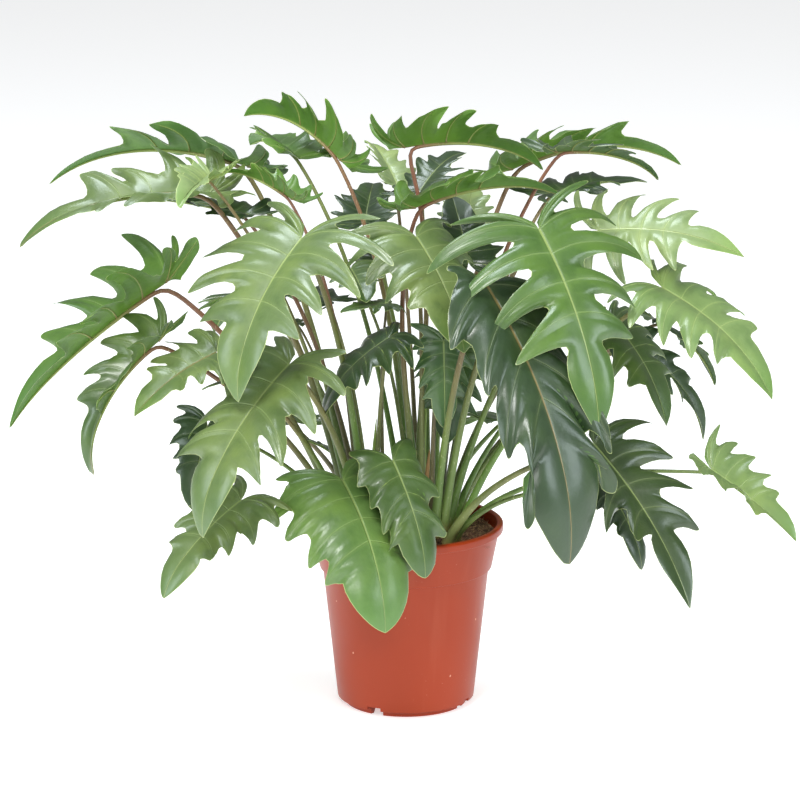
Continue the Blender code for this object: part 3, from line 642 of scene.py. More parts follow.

# ---------------------------------------------------------------------------------------------
# Leaves: each is one growth, a round stalk that runs on as the midrib of a thin waxy blade cut
# into long lobes. The stalks stand round the crowns, low leaves outside and upright ones inside.

# Joint's place from the middle of the mix's surface and blade length, mm; heading, rise, droop,
# roll and fold, degrees; lobing and width; crown; tone; how red its stalk is; how light the blade
# is for its tone, partly painted light, raised on blades that lie in shade or show a pale sheen; and
# how far its lobes stand out, less than 1 where they lie forward.
Leaf = namedtuple("Leaf", "x y z length heading rise droop roll fold lobing width crown tone blush "
                  "shade sweep", defaults=(1.0, 1.0))
LEAVES = [Leaf(*row) for row in (
    (-65, 60, 360, 125, 145, 40, 60, 34, 40, 0.45, 1, "B", "bright", 0.9),
    (0, 20, 380, 140, 5, 10, 45, -15, 40, 0.5, 1, "B", "bright", 1),
    (-110, -5, 335, 75, 155, 30, 30, 15, 40, 0.4, 1, "A", "bright", 0.8),
    (-105, 90, 355, 115, 115, 10, 30, 10, 35, 0.4, 0.9, "B", "bright", 0.3),
    (-190, 10, 337, 195, 190, 5, 40, -10, 30, 0.6, 0.78, "A", "sage", 0.7, 0.95),
    (-155, 75, 350, 205, 175, 18, 55, 20, 25, 0.66, 0.8, "A", "dark", 0.5, 2.4),
    (-185, -56, 364, 80, 250, 10, 40, 0, 45, 0.3, 0.9, "A", "pale", 0.6),
    (-155, 30, 312, 105, 145, 5, 10, 0, 25, 0.4, 0.8, "A", "dark", 0.7),
    (-98, -110, 320, 175, 228, -35, 50, 0, 20, 0.58, 1.38, "A", "sage", 0.5, 1.05),
    (-230, -40, 260, 205, 200, -30, 20, 10, 40, 0.65, 1, "A", "bright", 0.9, 0.95),
    (-235, -90, 215, 150, 215, -30, 60, 5, 45, 0.5, 0.7, "A", "mid", 0.8, 0.95),
    (-180, -105, 208, 105, 215, -15, 30, -10, 20, 0.5, 1.1, "A", "sage", 0.9),
    (-110, -140, 205, 190, 220, -35, 40, 0, 15, 0.55, 1.25, "A", "sage", 0.3, 1, 0.88),
    (-190, -60, 125, 85, 250, -50, 30, 0, 15, 0.3, 1, "A", "dark", 0.2, 1.3),
    (-157, -120, 67, 125, 220, -25, 30, -10, 10, 0.35, 0.9, "A", "sage", 0.1),
    (-60, -95, 80, 158, 302, -38, 50, 0, 5, 0.3, 1.3, "C", "mid", 0, 2, 0.9),
    (-12, -92, 98, 118, 308, -50, 30, 0, 5, 0.25, 1.1, "C", "mid", 0, 1.1, 0.8),
    (10, -60, 310, 128, 305, -35, 35, 0, 10, 0.38, 1.35, "C", "sage", 0.5),
    (10, -25, 331, 145, 5, 22, 40, -10, 35, 0.45, 0.8, "C", "bright", 1),
    (15, 100, 322, 95, 60, 30, 40, 0, 20, 0.5, 0.8, "B", "dark", 0.5, 1.2),
    (-10, 150, 318, 90, 110, 30, 30, 20, 30, 0.4, 0.8, "B", "pale", 0.3),
    (-40, 100, 290, 95, 85, 20, 20, 0, 30, 0.4, 0.9, "B", "dark", 0.3, 1.3),
    (-53, 15, 262, 62, 285, -10, 20, 0, 20, 0.3, 1.3, "B", "mid", 0.1),
    (-18, -22, 236, 50, 205, 5, 20, 0, 15, 0.3, 1.1, "A", "mid", 0.2),
    (-25, 140, 245, 65, 75, 20, 20, 0, 20, 0.3, 0.9, "B", "dark", 0.2),
    (-18, -66, 212, 100, 195, -30, 40, 0, 15, 0.4, 1.4, "A", "dark", 0.2, 1.2),
    (75, -150, 285, 285, 310, -43, 45, 0, 13, 0.36, 0.95, "C", "dark", 0.7, 1.15, 0.62),
    (125, -120, 331, 210, 305, -44, 40, 8, 10, 0.72, 1.2, "C", "bright", 0.6, 0.7),
    (36, -60, 208, 85, 280, -82, 6, 0, 10, 0.4, 1, "C", "dark", 0.2, 2.3, 0.85),
    (45, -12, 188, 92, 250, -75, 10, 0, 10, 0.4, 1.2, "C", "dark", 0.2, 2.3, 0.85),
    (145, 0, 380, 115, 20, 0, 40, -10, 30, 0.55, 0.8, "B", "dark", 1, 1.3),
    (105, 95, 343, 180, 15, 22, 55, -15, 35, 0.5, 0.7, "B", "bright", 0.7, 0.95),
    (185, -30, 310, 145, 345, 8, 35, 30, 15, 0.72, 1.1, "C", "pale", 0.6),
    (140, 90, 320, 110, 25, 10, 20, 0, 20, 0.4, 0.9, "B", "dark", 0.5, 1.3),
    (245, -60, 260, 152, 340, -25, 40, 10, 15, 0.5, 1.1, "C", "sage", 0.5, 1.75),
    (212, 50, 177, 135, 10, -25, 60, 30, 25, 0.5, 0.7, "B", "dark", 0.3, 1.2),
    (247, 85, 193, 100, 25, -30, 40, 0, 15, 0.3, 0.6, "B", "dark", 0.3, 1.1),
    (200, -10, 215, 115, 325, -40, 40, 0, 15, 0.5, 1.2, "B", "mid", 0.3),
    (178, -130, 125, 185, 318, -36, 30, 5, 22, 0.62, 0.95, "C", "mid", 0.2, 0.5, 0.95),
    (190, -110, 80, 90, 320, -45, 30, 0, 15, 0.35, 0.9, "C", "dark", 0.1),
    (295, -60, 80, 105, 340, -30, 15, 10, 35, 0.4, 1, "C", "sage", 0.1, 1.5),
    (60, -15, 275, 100, 100, 36, 20, 0, 20, 0.4, 1, "B", "dark", 0.6),
    (60, 120, 280, 85, 85, 25, 20, 0, 20, 0.4, 0.9, "B", "pale", 0.3),
    (-75, 60, 220, 70, 145, 15, 20, 0, 20, 0.4, 1, "A", "dark", 0.2),
    (-105, 52, 199, 40, 195, 0, 30, 0, 20, 0.3, 1, "A", "dark", 0.2),
    (-72, 48, 70, 35, 200, 35, 20, 0, 20, 0.2, 0.9, "A", "mid", 0),
    (130, 120, 175, 160, 60, -10, 50, 0, 15, 0.5, 0.9, "B", "mid", 0.3),
    (95, 110, 85, 155, 60, -10, 50, 0, 15, 0.5, 0.9, "B", "mid", 0.1),
    (-140, 110, 210, 145, 115, -5, 50, 0, 15, 0.5, 0.9, "A", "mid", 0.3),
    (-115, 110, 85, 135, 120, 0, 50, 0, 15, 0.5, 0.9, "A", "mid", 0.1),
)]

# Greens of a blade: the upper face, then the under face, which is mostly lighter and greener with painted
# light shining through the blade.
TONES = {
    "bright": (linear(80, 114, 48), linear(84, 124, 40)),
    "pale": (linear(130, 150, 98), linear(122, 150, 78)),
    "sage": (linear(94, 114, 66), linear(100, 128, 62)),
    "mid": (linear(70, 94, 46), linear(84, 116, 50)),
    "dark": (linear(40, 60, 32), linear(60, 88, 40)),
}

# Blade plan for a blade of length one. Column p: the ear edge at -0.5, the ear at 0, side lobes at
# 1 to 4, and the end lobe from the last sinus at 4.5 to its tip at 5.
PLAN_P = (-0.5, 0, 1, 2, 3, 4, 4.5, 4.6, 4.7, 4.8, 4.9, 5)
PLAN_ROOT = (0, 0, 0, 0.13, 0.28, 0.43, 0.565, 0.592, 0.619, 0.646, 0.673, 0.70)
PLAN_ANGLE = (170, 148, 121, 104, 93, 82, 73, 60, 44, 27, 12, 0)
PLAN_REACH = (0.24, 0.42, 0.46, 0.45, 0.40, 0.32, 0.29, 0.14, 0.182, 0.228, 0.272, 0.30)
LAST_SINUS = 4.5
SINUS_WIDTH = 0.90
ROUND_CUT = 0.95
SHARP_CUT = 0.05
END_NECK = 0.10
END_BULGE = 0.25
END_PINCH = 0.6
EAR_GAIN = 0.5
EAR_LENGTH = 300
FORWARD_GAIN = (-1.2, -0.9, -0.6, 0, 0.9)
VEIN_SWEEP = math.radians(54)
MARGIN_CURL = 50
HALF_WIDTH = 0.40
SHORT_BLADE = 120

# How a blade strays from its plan: ranges for its lobes, and heights as shares of its length.
LOBE_SIZE = (0.88, 1.06)
LOBE_LEAN = (0.05, 0.30)
LOBE_DIP = (-0.04, 0.16)
LOBE_TURN = (-0.16, 0.16)
QUILT = 0.006
SINUS_CURL = -0.008
WAVE = 0.020
FRILLS = ((0.0060, 5, 2.3), (0.0030, 6, 4.9))

# Steps along and across a blade, closest together towards the tips of the lobes.
SPINE_STEPS = 120
SHARES = (0, 0.04, 0.09, 0.15, 0.22, 0.30, 0.40, 0.52, 0.66, 0.82, 1)
ROWS = (0, 0.04, 0.10, 0.20, 0.32, 0.45, 0.58, 0.70, 0.80, 0.89, 0.96, 1)

HALF_THICK = 0.00022
BLADE_CREASE = 75
TUBE_SIDES = 10

# Stalks stand in rings round their crown, each ring's feet a little higher than the last.
STALK_RADIUS = 0.0034
THIN_STALK = 0.45
THICK_STALK = 1.12
STALK_GAIN = 290
BASE_SHARE = 1.12
END_SHARE = 0.6
SHEATH = 0.0016
STALK_RINGS = 3
RING_SLACK = 1.06
FOOT_GAP = 0.0005
FOOT_RISE = 0.004
RING_RISE = 0.007
STALK_STEPS = 30
ARRIVAL_DIP = 16
BOW_OUT = 0.36
BOW_IN = 0.34

# Midrib and veins. Widths in the finish grow with the blade.
RIB_STEPS = 26
RIB_START = 0.03
RIB_END = 0.985
RIB_SHARE = 0.82
RIB_TIP = 0.00028
VEIN_STEPS = 12
VEIN_SHARE = 0.30
VEIN_TIP = 0.00014
MID_WIDTH = 0.0016
VEIN_WIDTH = 0.00125
TWIG_WIDTH = 0.0006
TWIG_LEAN = 0.3
HUE_STEP = 0.618
TINT_RANGE = (0.92, 1.08)
BLADE_NOTES = ("vein", "twig", "mid", "rim", "along")


def ease(low, high, where):
    """0 under low, 1 over high, rounded off at both."""
    part = np.clip((where - low) / (high - low), 0, 1)
    return part * part * (3 - 2 * part)


def joint_of(leaf):
    return np.array((leaf.x * 0.001, leaf.y * 0.001, SOIL_TOP + leaf.z * 0.001))


class Blade:
    """One blade's outline and the surface it bends over; arrays of points go in and come out."""

    def __init__(self, number, leaf):
        self.leaf = leaf
        self.length = leaf.length * 0.001
        self.vein_gain = 0.55 + self.length * 2.6
        self.joint = joint_of(leaf)
        self.chance = np.random.default_rng(100 + number)
        shares = np.linspace(0, 1, SPINE_STEPS + 1)
        pitch = np.radians(leaf.rise - leaf.droop * shares ** 1.3)
        head = np.radians(np.full_like(shares, leaf.heading))
        roll = math.radians(leaf.roll)
        self.along = np.stack([np.cos(pitch) * np.cos(head), np.cos(pitch) * np.sin(head),
                               np.sin(pitch)], 1)
        left = np.stack([-np.sin(head), np.cos(head), 0 * head], 1)
        up = np.cross(self.along, left)
        self.left = left * math.cos(roll) + up * math.sin(roll)
        self.up = up * math.cos(roll) - left * math.sin(roll)
        steps = 0.5 * (self.along[1:] + self.along[:-1]) * self.length / SPINE_STEPS
        self.spine = self.joint + np.vstack([np.zeros(3), np.cumsum(steps, 0)])
        self.shares = shares
        self.lobe_size = self.chance.uniform(*LOBE_SIZE, (2, 6))
        self.lobe_lean = np.append(self.chance.uniform(*LOBE_LEAN, 5), 0)
        self.lobe_dip = self.chance.uniform(*LOBE_DIP, (2, 6))
        self.lobe_dip[:, 5] = self.lobe_dip[0, 5]
        self.lobe_turn = self.chance.uniform(*LOBE_TURN, (2, 6))
        self.wave_phase = self.chance.uniform(0, 6.28, (2, 3))

    def at(self, rows, share):
        """Rows given along the spine, read at a share of its length."""
        share = np.clip(share, 0, 1)
        return np.stack([np.interp(share, self.shares, rows[:, k]) for k in range(3)], -1)

    def columns(self, shares):
        """Columns of the blade, closest together at the tips of the lobes."""
        shares = np.array(shares)
        places = [np.arange(0, 6), 5 - 0.5 * shares]
        for lobe in range(5):
            tip = 0.5 * self.lobe_lean[lobe] / (1 + self.lobe_lean[lobe])
            places.append(lobe + tip - shares * (tip + 0.5))
            places.append(lobe + tip + shares * (0.5 - tip))
        return np.unique(np.round(np.concatenate(places), 3))

    def across(self, p):
        """Lobe number and place across it: -1 and 1 in its sinuses, 0 at its tip, which leans."""
        lobe = np.where(p >= LAST_SINUS, 5, np.clip(np.round(p), 0, 4)).astype(int)
        place = np.clip((p - lobe) * 2, -1, 1)
        return lobe, place - self.lobe_lean[lobe] * (1 - np.abs(place))

    def reach(self, half, p):
        """How far the outline goes at column p, for a blade of length one."""
        lobe, place = self.across(p)
        cut = ROUND_CUT * ease(0, SINUS_WIDTH, np.abs(place)) + SHARP_CUT * np.abs(place)
        size = 1 + (self.lobe_size[half][lobe] - 1) * (1 - np.abs(place))
        side = np.interp(p, PLAN_P[:7], PLAN_REACH[:7]) * (1 - self.leaf.lobing * cut) * size
        side *= 1 + (1 - self.leaf.sweep) * np.interp(p, range(5), FORWARD_GAIN)
        side *= 1 + (EAR_GAIN - self.leaf.length / EAR_LENGTH) * np.clip(1 - p, 0, 1)
        sinus = PLAN_REACH[6] * (1 - self.leaf.lobing)
        left = np.clip((5 - p) / 0.5, 0, 1)
        slim = 1 + (END_BULGE - END_PINCH * self.leaf.lobing) * np.sin(math.pi * left ** 0.8)
        end = np.interp(p, PLAN_P[6:], (END_NECK,) + PLAN_REACH[7:]) * slim
        end += (sinus - END_NECK) * left ** 1.6
        return np.where(lobe == 5, end, side)

    def plan(self, half, p, t):
        """Distance along the midrib and out from it, for a blade of length one."""
        full = np.interp(p, PLAN_P[:7], PLAN_REACH[:7])
        reach = self.reach(half, p)
        keep = self.leaf.sweep
        angle = np.interp(p, PLAN_P, PLAN_ANGLE)
        angle = angle * np.interp(p, (0, 1, 4, LAST_SINUS, 4.6), (1, keep, keep, (1 + keep) / 2, 1))
        sweep = VEIN_SWEEP * np.minimum(1, (5 - p) / 1.5)
        middle = np.radians(angle) - sweep * t * reach / full / 2
        along = np.interp(p, PLAN_P, PLAN_ROOT) + t * reach * np.cos(middle)
        return along, np.maximum(t * reach * np.sin(middle) * self.leaf.width, 0)

    def relief(self, half, p, t):
        """Rise over the plain surface: quilting, turned and drooping lobes, wavy margins."""
        lobe, place = self.across(p)
        wide = np.clip(np.abs(place), 0, 1)
        quilt = QUILT * np.sin(math.pi * wide ** 0.8) * np.sin(math.pi * np.clip(t, 0, 1) ** 1.3)
        curl = SINUS_CURL * ease(0.5, 1, t) * ease(0.3, 1, wide)
        reach = self.reach(half, p)
        dip = self.lobe_dip[half][lobe] * t ** 2.2 * reach
        turn = self.lobe_turn[half][lobe] * place * (1 - 0.6 * wide) * t ** 1.5 * reach
        inner = np.where(lobe == 5, np.clip((5 - p) / 0.35, 0, 1), 1)
        phase = self.wave_phase[half]
        wave = WAVE * t ** 1.6 * np.sin(2 * math.pi * p * 0.61 + phase[0])
        frill = sum(size * t ** power * np.sin(2 * math.pi * p * often + start)
                    for (size, power, often), start in zip(FRILLS, phase[1:]))
        margin = (wave + frill) * np.clip((5 - p) * 1.5, 0.1, 1)
        return ((quilt + curl + turn) * inner - dip + margin) * self.length

    def point(self, half, along, out, lift):
        """Bend a flat point to its place, lifted off the middle surface."""
        side = 1 - 2 * half
        base = self.at(self.spine, along)
        base = base + self.along[0] * (np.minimum(along, 0) * self.length)[..., None]
        left = self.at(self.left, along)
        up = self.at(self.up, along)
        fold = math.radians(self.leaf.fold)
        curl = math.radians(MARGIN_CURL - self.leaf.fold) / (HALF_WIDTH * self.length)
        tilt = fold - curl * out * self.length
        flat = (math.sin(fold) - np.sin(tilt)) / curl
        high = (np.cos(tilt) - math.cos(fold)) / curl
        normal = up * np.cos(tilt)[..., None] - left * (side * np.sin(tilt))[..., None]
        sideways = left * (side * flat)[..., None]
        return base + sideways + up * high[..., None] + normal * lift[..., None]


def stalk_radius(leaf):
    """Thicker under a longer blade."""
    return STALK_RADIUS * min(THICK_STALK, THIN_STALK + leaf.length / STALK_GAIN)


def spread_angles(wanted, spacing):
    """Move sorted angles apart until neighbours keep the spacing."""
    angles = list(wanted)
    for _ in range(200):
        for i in range(len(angles) - 1):
            short = spacing - (angles[i + 1] - angles[i])
            if short > 0:
                angles[i] -= short / 2
                angles[i + 1] += short / 2
    return angles


def steepness(i, spot):
    away = joint_of(LEAVES[i]) - spot
    return math.atan2(away[2], math.hypot(away[0], away[1]))


def azimuth(i, spot, middle):
    """Direction of the joint seen from the crown, in degrees either side of the crown's own."""
    away = joint_of(LEAVES[i]) - spot
    turn = math.degrees(math.atan2(away[1], away[0])) - middle
    return (turn + 180) % 360 - 180


def stalk_bases():
    """Foot of every stalk: flat-lying leaves in the outer ring of their crown, upright ones inside."""
    bases = {}
    pitch = 2 * STALK_RADIUS * THICK_STALK * BASE_SHARE + CROWN_GAP
    for key, middle in CROWNS.items():
        spot = crown_spot(key)
        group = [i for i, leaf in enumerate(LEAVES) if leaf.crown == key]
        group.sort(key=lambda i: steepness(i, spot))
        for ring in range(STALK_RINGS):
            members = [i for rank, i in enumerate(group) if rank * STALK_RINGS // len(group) == ring]
            radius = CROWN_RADIUS + CROWN_GAP + pitch * (STALK_RINGS - 0.5 - ring) + FOOT_GAP
            members.sort(key=lambda i: azimuth(i, spot, middle))
            angles = spread_angles([azimuth(i, spot, middle) for i in members],
                                   math.degrees(RING_SLACK * pitch / radius))
            for i, angle in zip(members, angles):
                turn = math.radians(middle + angle)
                bases[i] = spot + np.array((math.cos(turn) * radius, math.sin(turn) * radius,
                                            FOOT_RISE + RING_RISE * ring))
    return bases


def stalk_line(blade, base, radius):
    """Bowed line from the crown up to the joint, on into the midrib, with its radius all along."""
    end = radius * END_SHARE
    away = blade.joint - base
    flat = np.array((away[0], away[1], 0))
    plan = flat / np.linalg.norm(flat)
    rise = np.array((0, 0, 1.0))
    slope = math.atan2(away[2], np.linalg.norm(flat))
    leave = slope + 0.5 * (math.pi / 2 - slope)
    arrive = slope - math.radians(ARRIVAL_DIP)
    toward = plan * math.cos(arrive) + rise * math.sin(arrive)
    stop = blade.joint - blade.up[0] * end * 0.9 - toward * 0.7 * end
    size = np.linalg.norm(away)
    one = base + (plan * math.cos(leave) + rise * math.sin(leave)) * size * BOW_OUT
    two = stop - toward * size * BOW_IN
    t = np.linspace(0, 1, STALK_STEPS)[:, None]
    line = base * (1 - t) ** 3 + one * 3 * t * (1 - t) ** 2 + two * 3 * t * t * (1 - t) + stop * t ** 3
    sizes = radius * (BASE_SHARE - (BASE_SHARE - END_SHARE) * t[:, 0] ** 0.7)
    sizes += SHEATH * np.exp(-t[:, 0] * 9) * radius / STALK_RADIUS
    share = np.linspace(RIB_START, RIB_END, RIB_STEPS)
    taper = end * RIB_SHARE * (1 - share) ** 0.8 + RIB_TIP
    tip = np.clip((share - PLAN_ROOT[-1]) / PLAN_REACH[-1], 0, 1)
    dip = blade.relief(0, np.full_like(share, PLAN_P[-1]), tip)
    rib = blade.point(0, share, 0 * share, dip - taper * 0.75 - HALF_THICK)
    whole = np.vstack([line, rib])
    first, last = STALK_STEPS - 2, STALK_STEPS + 3
    for _ in range(3):
        around = 0.25 * whole[first - 1:last - 1] + 0.5 * whole[first:last]
        whole[first:last] = around + 0.25 * whole[first + 1:last + 1]
    return whole, np.concatenate([sizes, taper]), np.concatenate([t[:, 0], 1 + share])


def vein_lines(blade, end):
    """Side veins under the blade: one to each lobe on each side, from the midrib nearly to its end."""
    lines = []
    for half in (0, 1):
        for lobe in range(5):
            t = np.linspace(0.02, 0.90, VEIN_STEPS)
            p = np.full_like(t, lobe)
            along, out = blade.plan(half, p, t)
            size = (VEIN_SHARE * end * (1 - t) ** 0.8 + VEIN_TIP) * (1 if lobe else 0.8)
            lift = blade.relief(half, p, t) - size * 0.55 - HALF_THICK
            lines.append((blade.point(half, along, out, lift), size, 1.15 + 0.8 * t))
    return lines


def vein_spread(blade, half, p, t, along, out, lobe, lean=0):
    """Distance to a vein in vein widths; lean bends a branch off the lobe's own vein."""
    branch = lobe + lean * ease(0, 1, (t - 0.22) / 0.6)
    line = np.clip(branch, -0.5, 5)
    level = t * blade.reach(half, p) / np.maximum(blade.reach(half, line), 0.02)
    there_along, there_out = blade.plan(half, line, level)
    gap = np.hypot(along - there_along, out - there_out) * blade.length
    width = (TWIG_WIDTH if lean else VEIN_WIDTH) * (1.05 - 0.8 * t) * blade.vein_gain
    gap = gap / width
    return np.where(t < 0.25, 9, gap) if lean else gap


def blade_notes(blade, half, p, t, along, out):
    """What the finish reads at each point, in the order of BLADE_NOTES."""
    veins = [vein_spread(blade, half, p, t, along, out, lobe) for lobe in range(5)]
    twigs = [vein_spread(blade, half, p, t, along, out, lobe, lean)
             for lobe in range(1, 5) for lean in (-TWIG_LEAN, TWIG_LEAN)]
    width = MID_WIDTH * (1.05 - 0.9 * np.clip(along, 0, 1)) * blade.vein_gain
    mid = out * blade.length / width
    rim = (1 - t) * blade.reach(half, p) * blade.length * 1000
    return np.stack([np.minimum.reduce(veins), np.minimum.reduce(twigs), mid, rim, along], -1)


def blade_grid(blade):
    """Both faces of the blade, joined at the margin and split along the midrib by its thickness:
    points, their notes, faces, and which faces are under."""
    coarse = blade.leaf.length <= SHORT_BLADE
    columns = blade.columns(SHARES[::2] if coarse else SHARES)
    rows = np.array(ROWS[::2] + ROWS[-1:] if coarse else ROWS)
    p, t = np.meshgrid(columns, rows, indexing="ij")
    points, notes, faces, under = [], [], [], []
    index = {}
    for half in (0, 1):
        along, out = blade.plan(half, p, t)
        lift = blade.relief(half, p, t) * np.where(t == 0, 0, 1)
        edge = (t == 1) | (p == -0.5)
        thick = np.where(edge, 0, HALF_THICK)
        note = blade_notes(blade, half, p, t, along, out)
        for face in (1, -1):
            place = blade.point(half, along, out, lift + face * thick)
            numbers = np.zeros(p.shape, int)
            # Points of the midrib and of the end lobe's middle column belong to both halves.
            for i in range(p.shape[0]):
                for j in range(p.shape[1]):
                    if j == 0:
                        key = ("mid", face, max(columns[i], 1))
                    elif columns[i] == 5:
                        key = ("end", 0 if edge[i, j] else face, j)
                    else:
                        key = (half, 0 if edge[i, j] else face, i, j)
                    if key not in index:
                        index[key] = len(points)
                        points.append(place[i, j])
                        notes.append(note[i, j])
                    numbers[i, j] = index[key]
            turn = face * (1 - 2 * half)
            for i in range(p.shape[0] - 1):
                for j in range(p.shape[1] - 1):
                    ring = [numbers[i, j], numbers[i + 1, j], numbers[i + 1, j + 1], numbers[i, j + 1]]
                    ring = list(dict.fromkeys(ring))
                    if len(ring) > 2:
                        faces.append(ring if turn > 0 else ring[::-1])
                        under.append(face < 0)
    # The short edge behind the joint, between the ears' inner edges.
    for half in (0, 1):
        ring = [index[("mid", 1, 1)], index[(half, 0, 0, 1)], index[("mid", -1, 1)]]
        faces.append(ring if half == 0 else ring[::-1])
        under.append(True)
    return np.array(points), np.array(notes), faces, under


def leaf_tree():
    """The stalk, midrib and side veins: tubes along the loose edges, as thick as each point says."""
    grow = Grower("grow_ribs", {"Sides": ("Int", 8), "Rib": ("Material", None)})
    loose = grow.node("FunctionNodeCompare", {"data_type": "INT", "operation": "EQUAL"},
                      {2: grow.node("GeometryNodeInputMeshEdgeNeighbors"), 3: 0})
    lines = grow.node("GeometryNodeMeshToCurve", None,
                      {"Mesh": grow.given("Geometry"), "Selection": loose})
    ring = grow.node("GeometryNodeCurvePrimitiveCircle", None,
                     {"Resolution": grow.given("Sides"), "Radius": 1.0})
    size = grow.node("GeometryNodeInputNamedAttribute", {"data_type": "FLOAT"}, {"Name": "size"})
    tube = grow.node("GeometryNodeCurveToMesh", None,
                     {"Curve": lines, "Profile Curve": ring, "Scale": size, "Fill Caps": True})
    tube = grow.painted(tube, "Rib")
    blade = grow.node("GeometryNodeDeleteGeometry", {"domain": "EDGE"},
                      {"Geometry": grow.given("Geometry"), "Selection": loose})
    return grow.finish(grow.joined(tube, blade))


def waxy_blade(name, topside):
    """Living leaf: green with paler veins, a thin cream margin, fine venation and a waxy sheen; towards the
    tip it is painted darker and greener, as shade where the turned-down tip misses the sheen.
    """
    paint = Finish(name, 0.4)
    # The under face's tint holds painted light shining through the blade.
    tint = paint.read("tint" if topside else "tint_under_painted_backlight", True)
    patch = paint.noise(16, 3)
    pale = paint.tinted(tint, (1.55, 1.42, 1.02))
    base = paint.blend(patch.above(0.45, 0.68) * 0.6, tint, pale)
    deep = paint.tinted(tint, (0.55, 0.66, 0.58))
    base = paint.blend(paint.noise(30, 4, 0.6).below(0.34, 0.54) * 0.55, base, deep)
    # Painted shade: the tip darker and greener, where a turned-down tip misses the sheen.
    tip_painted_out_of_sheen = paint.tinted(tint, (0.66, 0.92, 0.50))
    base = paint.blend(paint.read("along").above(0.55, 1.0) * 0.65, base, tip_painted_out_of_sheen)
    vein = paint.read("vein")
    mid = paint.read("mid")
    near = vein.below(0.4, 4.5) * 0.18 + mid.below(0.5, 5) * 0.22
    lit = paint.blend(0.16, paint.tinted(tint, (1.55, 1.45, 1.35)), linear(176, 192, 124))
    base = paint.blend(near, base, lit)
    line = vein.below(0.2, 0.9) * 0.60
    twig = paint.read("twig").below(0.2, 1.0) * 0.16
    line = paint.node("ShaderNodeMath", {"operation": "MAXIMUM"}, {0: line, 1: twig})
    base = paint.blend(line, base, lit)
    red = paint.read("blush").above(0.58, 0.72) if topside else paint.read("blush")
    rib = paint.blend(red * 0.75, paint.blend(0.45, lit, linear(168, 184, 112)), linear(126, 92, 54))
    base = paint.blend(mid.below(0.45, 1.0) * 0.8, base, rib)
    margin = paint.read("rim").below(0.3, 0.8)
    base = paint.blend(margin * 0.6, base, linear(190, 202, 132))
    paint.set(Base_Color=base)
    paint.set(Roughness=(0.34 if topside else 0.46) + paint.noise(45, 3) * 0.16 + line * 0.1)
    paint.set(Coat_Weight=0.5 if topside else 0.05, Coat_Roughness=0.24, Specular_IOR_Level=0.45)
    height = paint.noise(240, 3) * 0.4 + paint.noise(60, 2) * 0.9
    sunk = (line + mid.below(0.4, 1.5)) * (-0.9 if topside else 0.9)
    paint.bump(height + sunk, 0.0007 if topside else 0.0009)
    return paint.material


def leaf_rib():
    """Stalk and ribs: olive at the foot, purple-brown towards the joint, smooth and faintly streaked."""
    paint = Finish("leaf_rib", 0.42)
    rise = paint.read("rise")
    hue = paint.read("hue")
    green = paint.blend(hue.above(0.1, 0.5), linear(118, 128, 74), linear(104, 138, 62))
    green = paint.blend(hue.above(0.6, 0.9), green, linear(112, 104, 70))
    streak = paint.noise(60, 3, 0.5, (1, 1, 0.15)).above(0.35, 0.6)
    green = paint.blend(streak * 0.55, green, paint.tinted(green, (0.50, 0.58, 0.50)))
    high = rise.above(0.15, 0.85) * paint.read("blush")
    base = paint.blend(high * 0.85, green, linear(132, 76, 62))
    base = paint.blend(rise.above(1.02, 1.40) * 0.8, base, linear(136, 158, 78))
    fleck = paint.noise(700, 2, 0.5, (1, 1, 0.3)).above(0.62, 0.72)
    base = paint.blend(fleck * 0.35, base, linear(196, 200, 150))
    paint.set(Base_Color=paint.blend(rise.below(0.0, 0.05) * 0.6, base, linear(150, 120, 74)))
    paint.set(Roughness=0.36 + paint.noise(90, 2) * 0.14)
    paint.bump(paint.noise(420, 3, 0.5, (1, 1, 0.12)), 0.0004)
    return paint.material


def leaf_object(number, leaf, base, tree, finishes):
    """One leaf: the blade's faces, and the lines of its stalk and ribs, which the tree makes round."""
    blade = Blade(number, leaf)
    radius = stalk_radius(leaf)
    points, notes, faces, under = blade_grid(blade)
    lines = [stalk_line(blade, base, radius)] + vein_lines(blade, radius * END_SHARE)
    edges = []
    start = len(points)
    for line, _, _ in lines:
        edges += [(start + k, start + k + 1) for k in range(len(line) - 1)]
        start += len(line)
    whole = np.vstack([points] + [line for line, _, _ in lines])
    table = {name: np.zeros(start) for name in BLADE_NOTES}
    for k, name in enumerate(BLADE_NOTES):
        table[name][:len(points)] = notes[:, k]
    table["size"] = np.concatenate([np.zeros(len(points))] + [size for _, size, _ in lines])
    table["rise"] = np.concatenate([np.zeros(len(points))] + [rise for _, _, rise in lines])
    table["blush"] = np.full(start, leaf.blush)
    table["hue"] = np.full(start, number * HUE_STEP % 1)
    mesh = bpy.data.meshes.new("leaf")
    mesh.from_pydata(whole.tolist(), edges, faces)
    mesh.materials.append(finishes["top"])
    mesh.materials.append(finishes["under"])
    mesh.polygons.foreach_set("material_index", np.array(under, np.int32))
    mesh.shade_smooth()
    mesh.set_sharp_from_angle(angle=math.radians(BLADE_CREASE))
    for name, values in table.items():
        note = mesh.attributes.new(name, "FLOAT", "POINT")
        note.data.foreach_set("value", values.astype(np.float32))
    # The second tint, for the under face, holds painted light shining through the blade.
    for name, colour in zip(("tint", "tint_under_painted_backlight"), TONES[leaf.tone]):
        tints = np.ones((start, 4), np.float32)
        # Each blade's shade factor is partly painted light: raised on blades that lie in shade or show a
        # pale sheen.
        tints[:, :3] = np.array(colour) * leaf.shade * blade.chance.uniform(*TINT_RANGE)
        note = mesh.attributes.new(name, "FLOAT_COLOR", "POINT")
        note.data.foreach_set("color", tints.ravel())
    item = put_in("foliage_%02d" % number, mesh)
    item.data = grown(item, tree, Sides=TUBE_SIDES, Rib=finishes["rib"])
    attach(item, "root")
    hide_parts("leaf_%02d" % number)


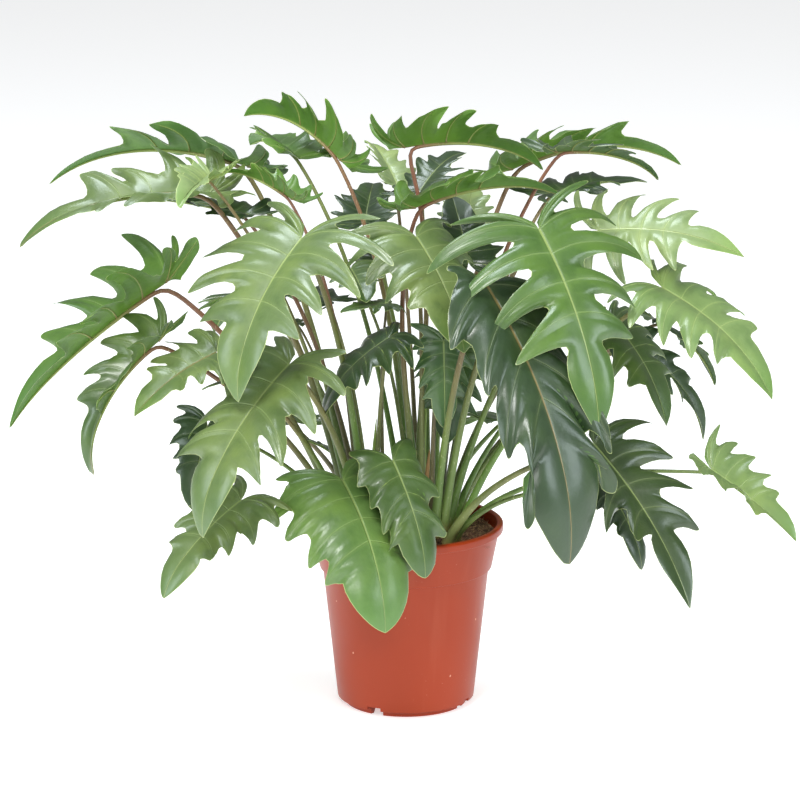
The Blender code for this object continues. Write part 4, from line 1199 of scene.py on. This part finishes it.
finishes = {"top": waxy_blade("blade_top", True), "under": waxy_blade("blade_under", False),
            "rib": leaf_rib()}
ribs = leaf_tree()
bases = stalk_bases()
for i, leaf in enumerate(LEAVES):
    leaf_object(i + 1, leaf, bases[i], ribs, finishes)

# ---------------------------------------------------------------------------------------------
# New shoots: two young leaves, still rolled up, and one dry papery scale. Each grows from the tip
# of a crown.

SHOOTS = (
    ("new_leaf_1", "A", 0.100, 0.0032),
    ("new_leaf_2", "B", 0.120, 0.0032),
    ("bud_scale", "C", 0.075, 0.0036),
)
SHOOT_LEVELS = 40
SHOOT_SIDES = 24
SHOOT_SHARES = (0, 0.15, 0.45, 0.75, 1)
SHOOT_GIRTH = (0.8, 1.0, 0.95, 0.6, 0.12)
LAP_STEP = 0.16
LAP_TURNS = 1.3
SHOOT_LEAN = (0.004, -0.003)


def shoot_finish(name, low, high, rough):
    """Two colours in streaks along the roll."""
    paint = Finish(name, rough)
    streak = paint.noise(300, 3, 0.5, (1, 1, 0.05))
    paint.set(Base_Color=paint.blend(streak, low, high))
    paint.bump(streak, 0.0005)
    return paint.material


def make_shoot(name, key, height, thick, material):
    """A tapered roll with the step of its outer edge winding up it."""
    foot = crown_spot(key) + np.array((0, 0, CROWN_RISE + CROWN_GAP))
    points = []
    for i in range(SHOOT_LEVELS):
        s = i / (SHOOT_LEVELS - 1)
        radius = thick * np.interp(s, SHOOT_SHARES, SHOOT_GIRTH) * 0.97
        for k in range(SHOOT_SIDES):
            turn = 2 * math.pi * k / SHOOT_SIDES
            lap = 1 - LAP_STEP * ((k / SHOOT_SIDES + s * LAP_TURNS) % 1)
            points.append((foot[0] + SHOOT_LEAN[0] * s * s + radius * lap * math.cos(turn),
                           foot[1] + SHOOT_LEAN[1] * s + radius * lap * math.sin(turn),
                           foot[2] + height * s))
    faces = [tuple(range(SHOOT_SIDES)), tuple(range(len(points) - SHOOT_SIDES, len(points)))]
    for i in range(0, len(points) - SHOOT_SIDES, SHOOT_SIDES):
        for k in range(SHOOT_SIDES):
            a = i + k
            b = i + (k + 1) % SHOOT_SIDES
            faces.append((a, b, b + SHOOT_SIDES, a + SHOOT_SIDES))
    shoot = piece_from(name + "_roll", points, faces, material, 60)
    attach(shoot, "root")
    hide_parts(name)


young = shoot_finish("young_leaf", linear(132, 166, 72), linear(170, 190, 104), 0.4)
papery = shoot_finish("papery_scale", linear(126, 92, 54), linear(186, 150, 98), 0.75)
for name, key, height, thick in SHOOTS:
    make_shoot(name, key, height, thick, papery if name == "bud_scale" else young)
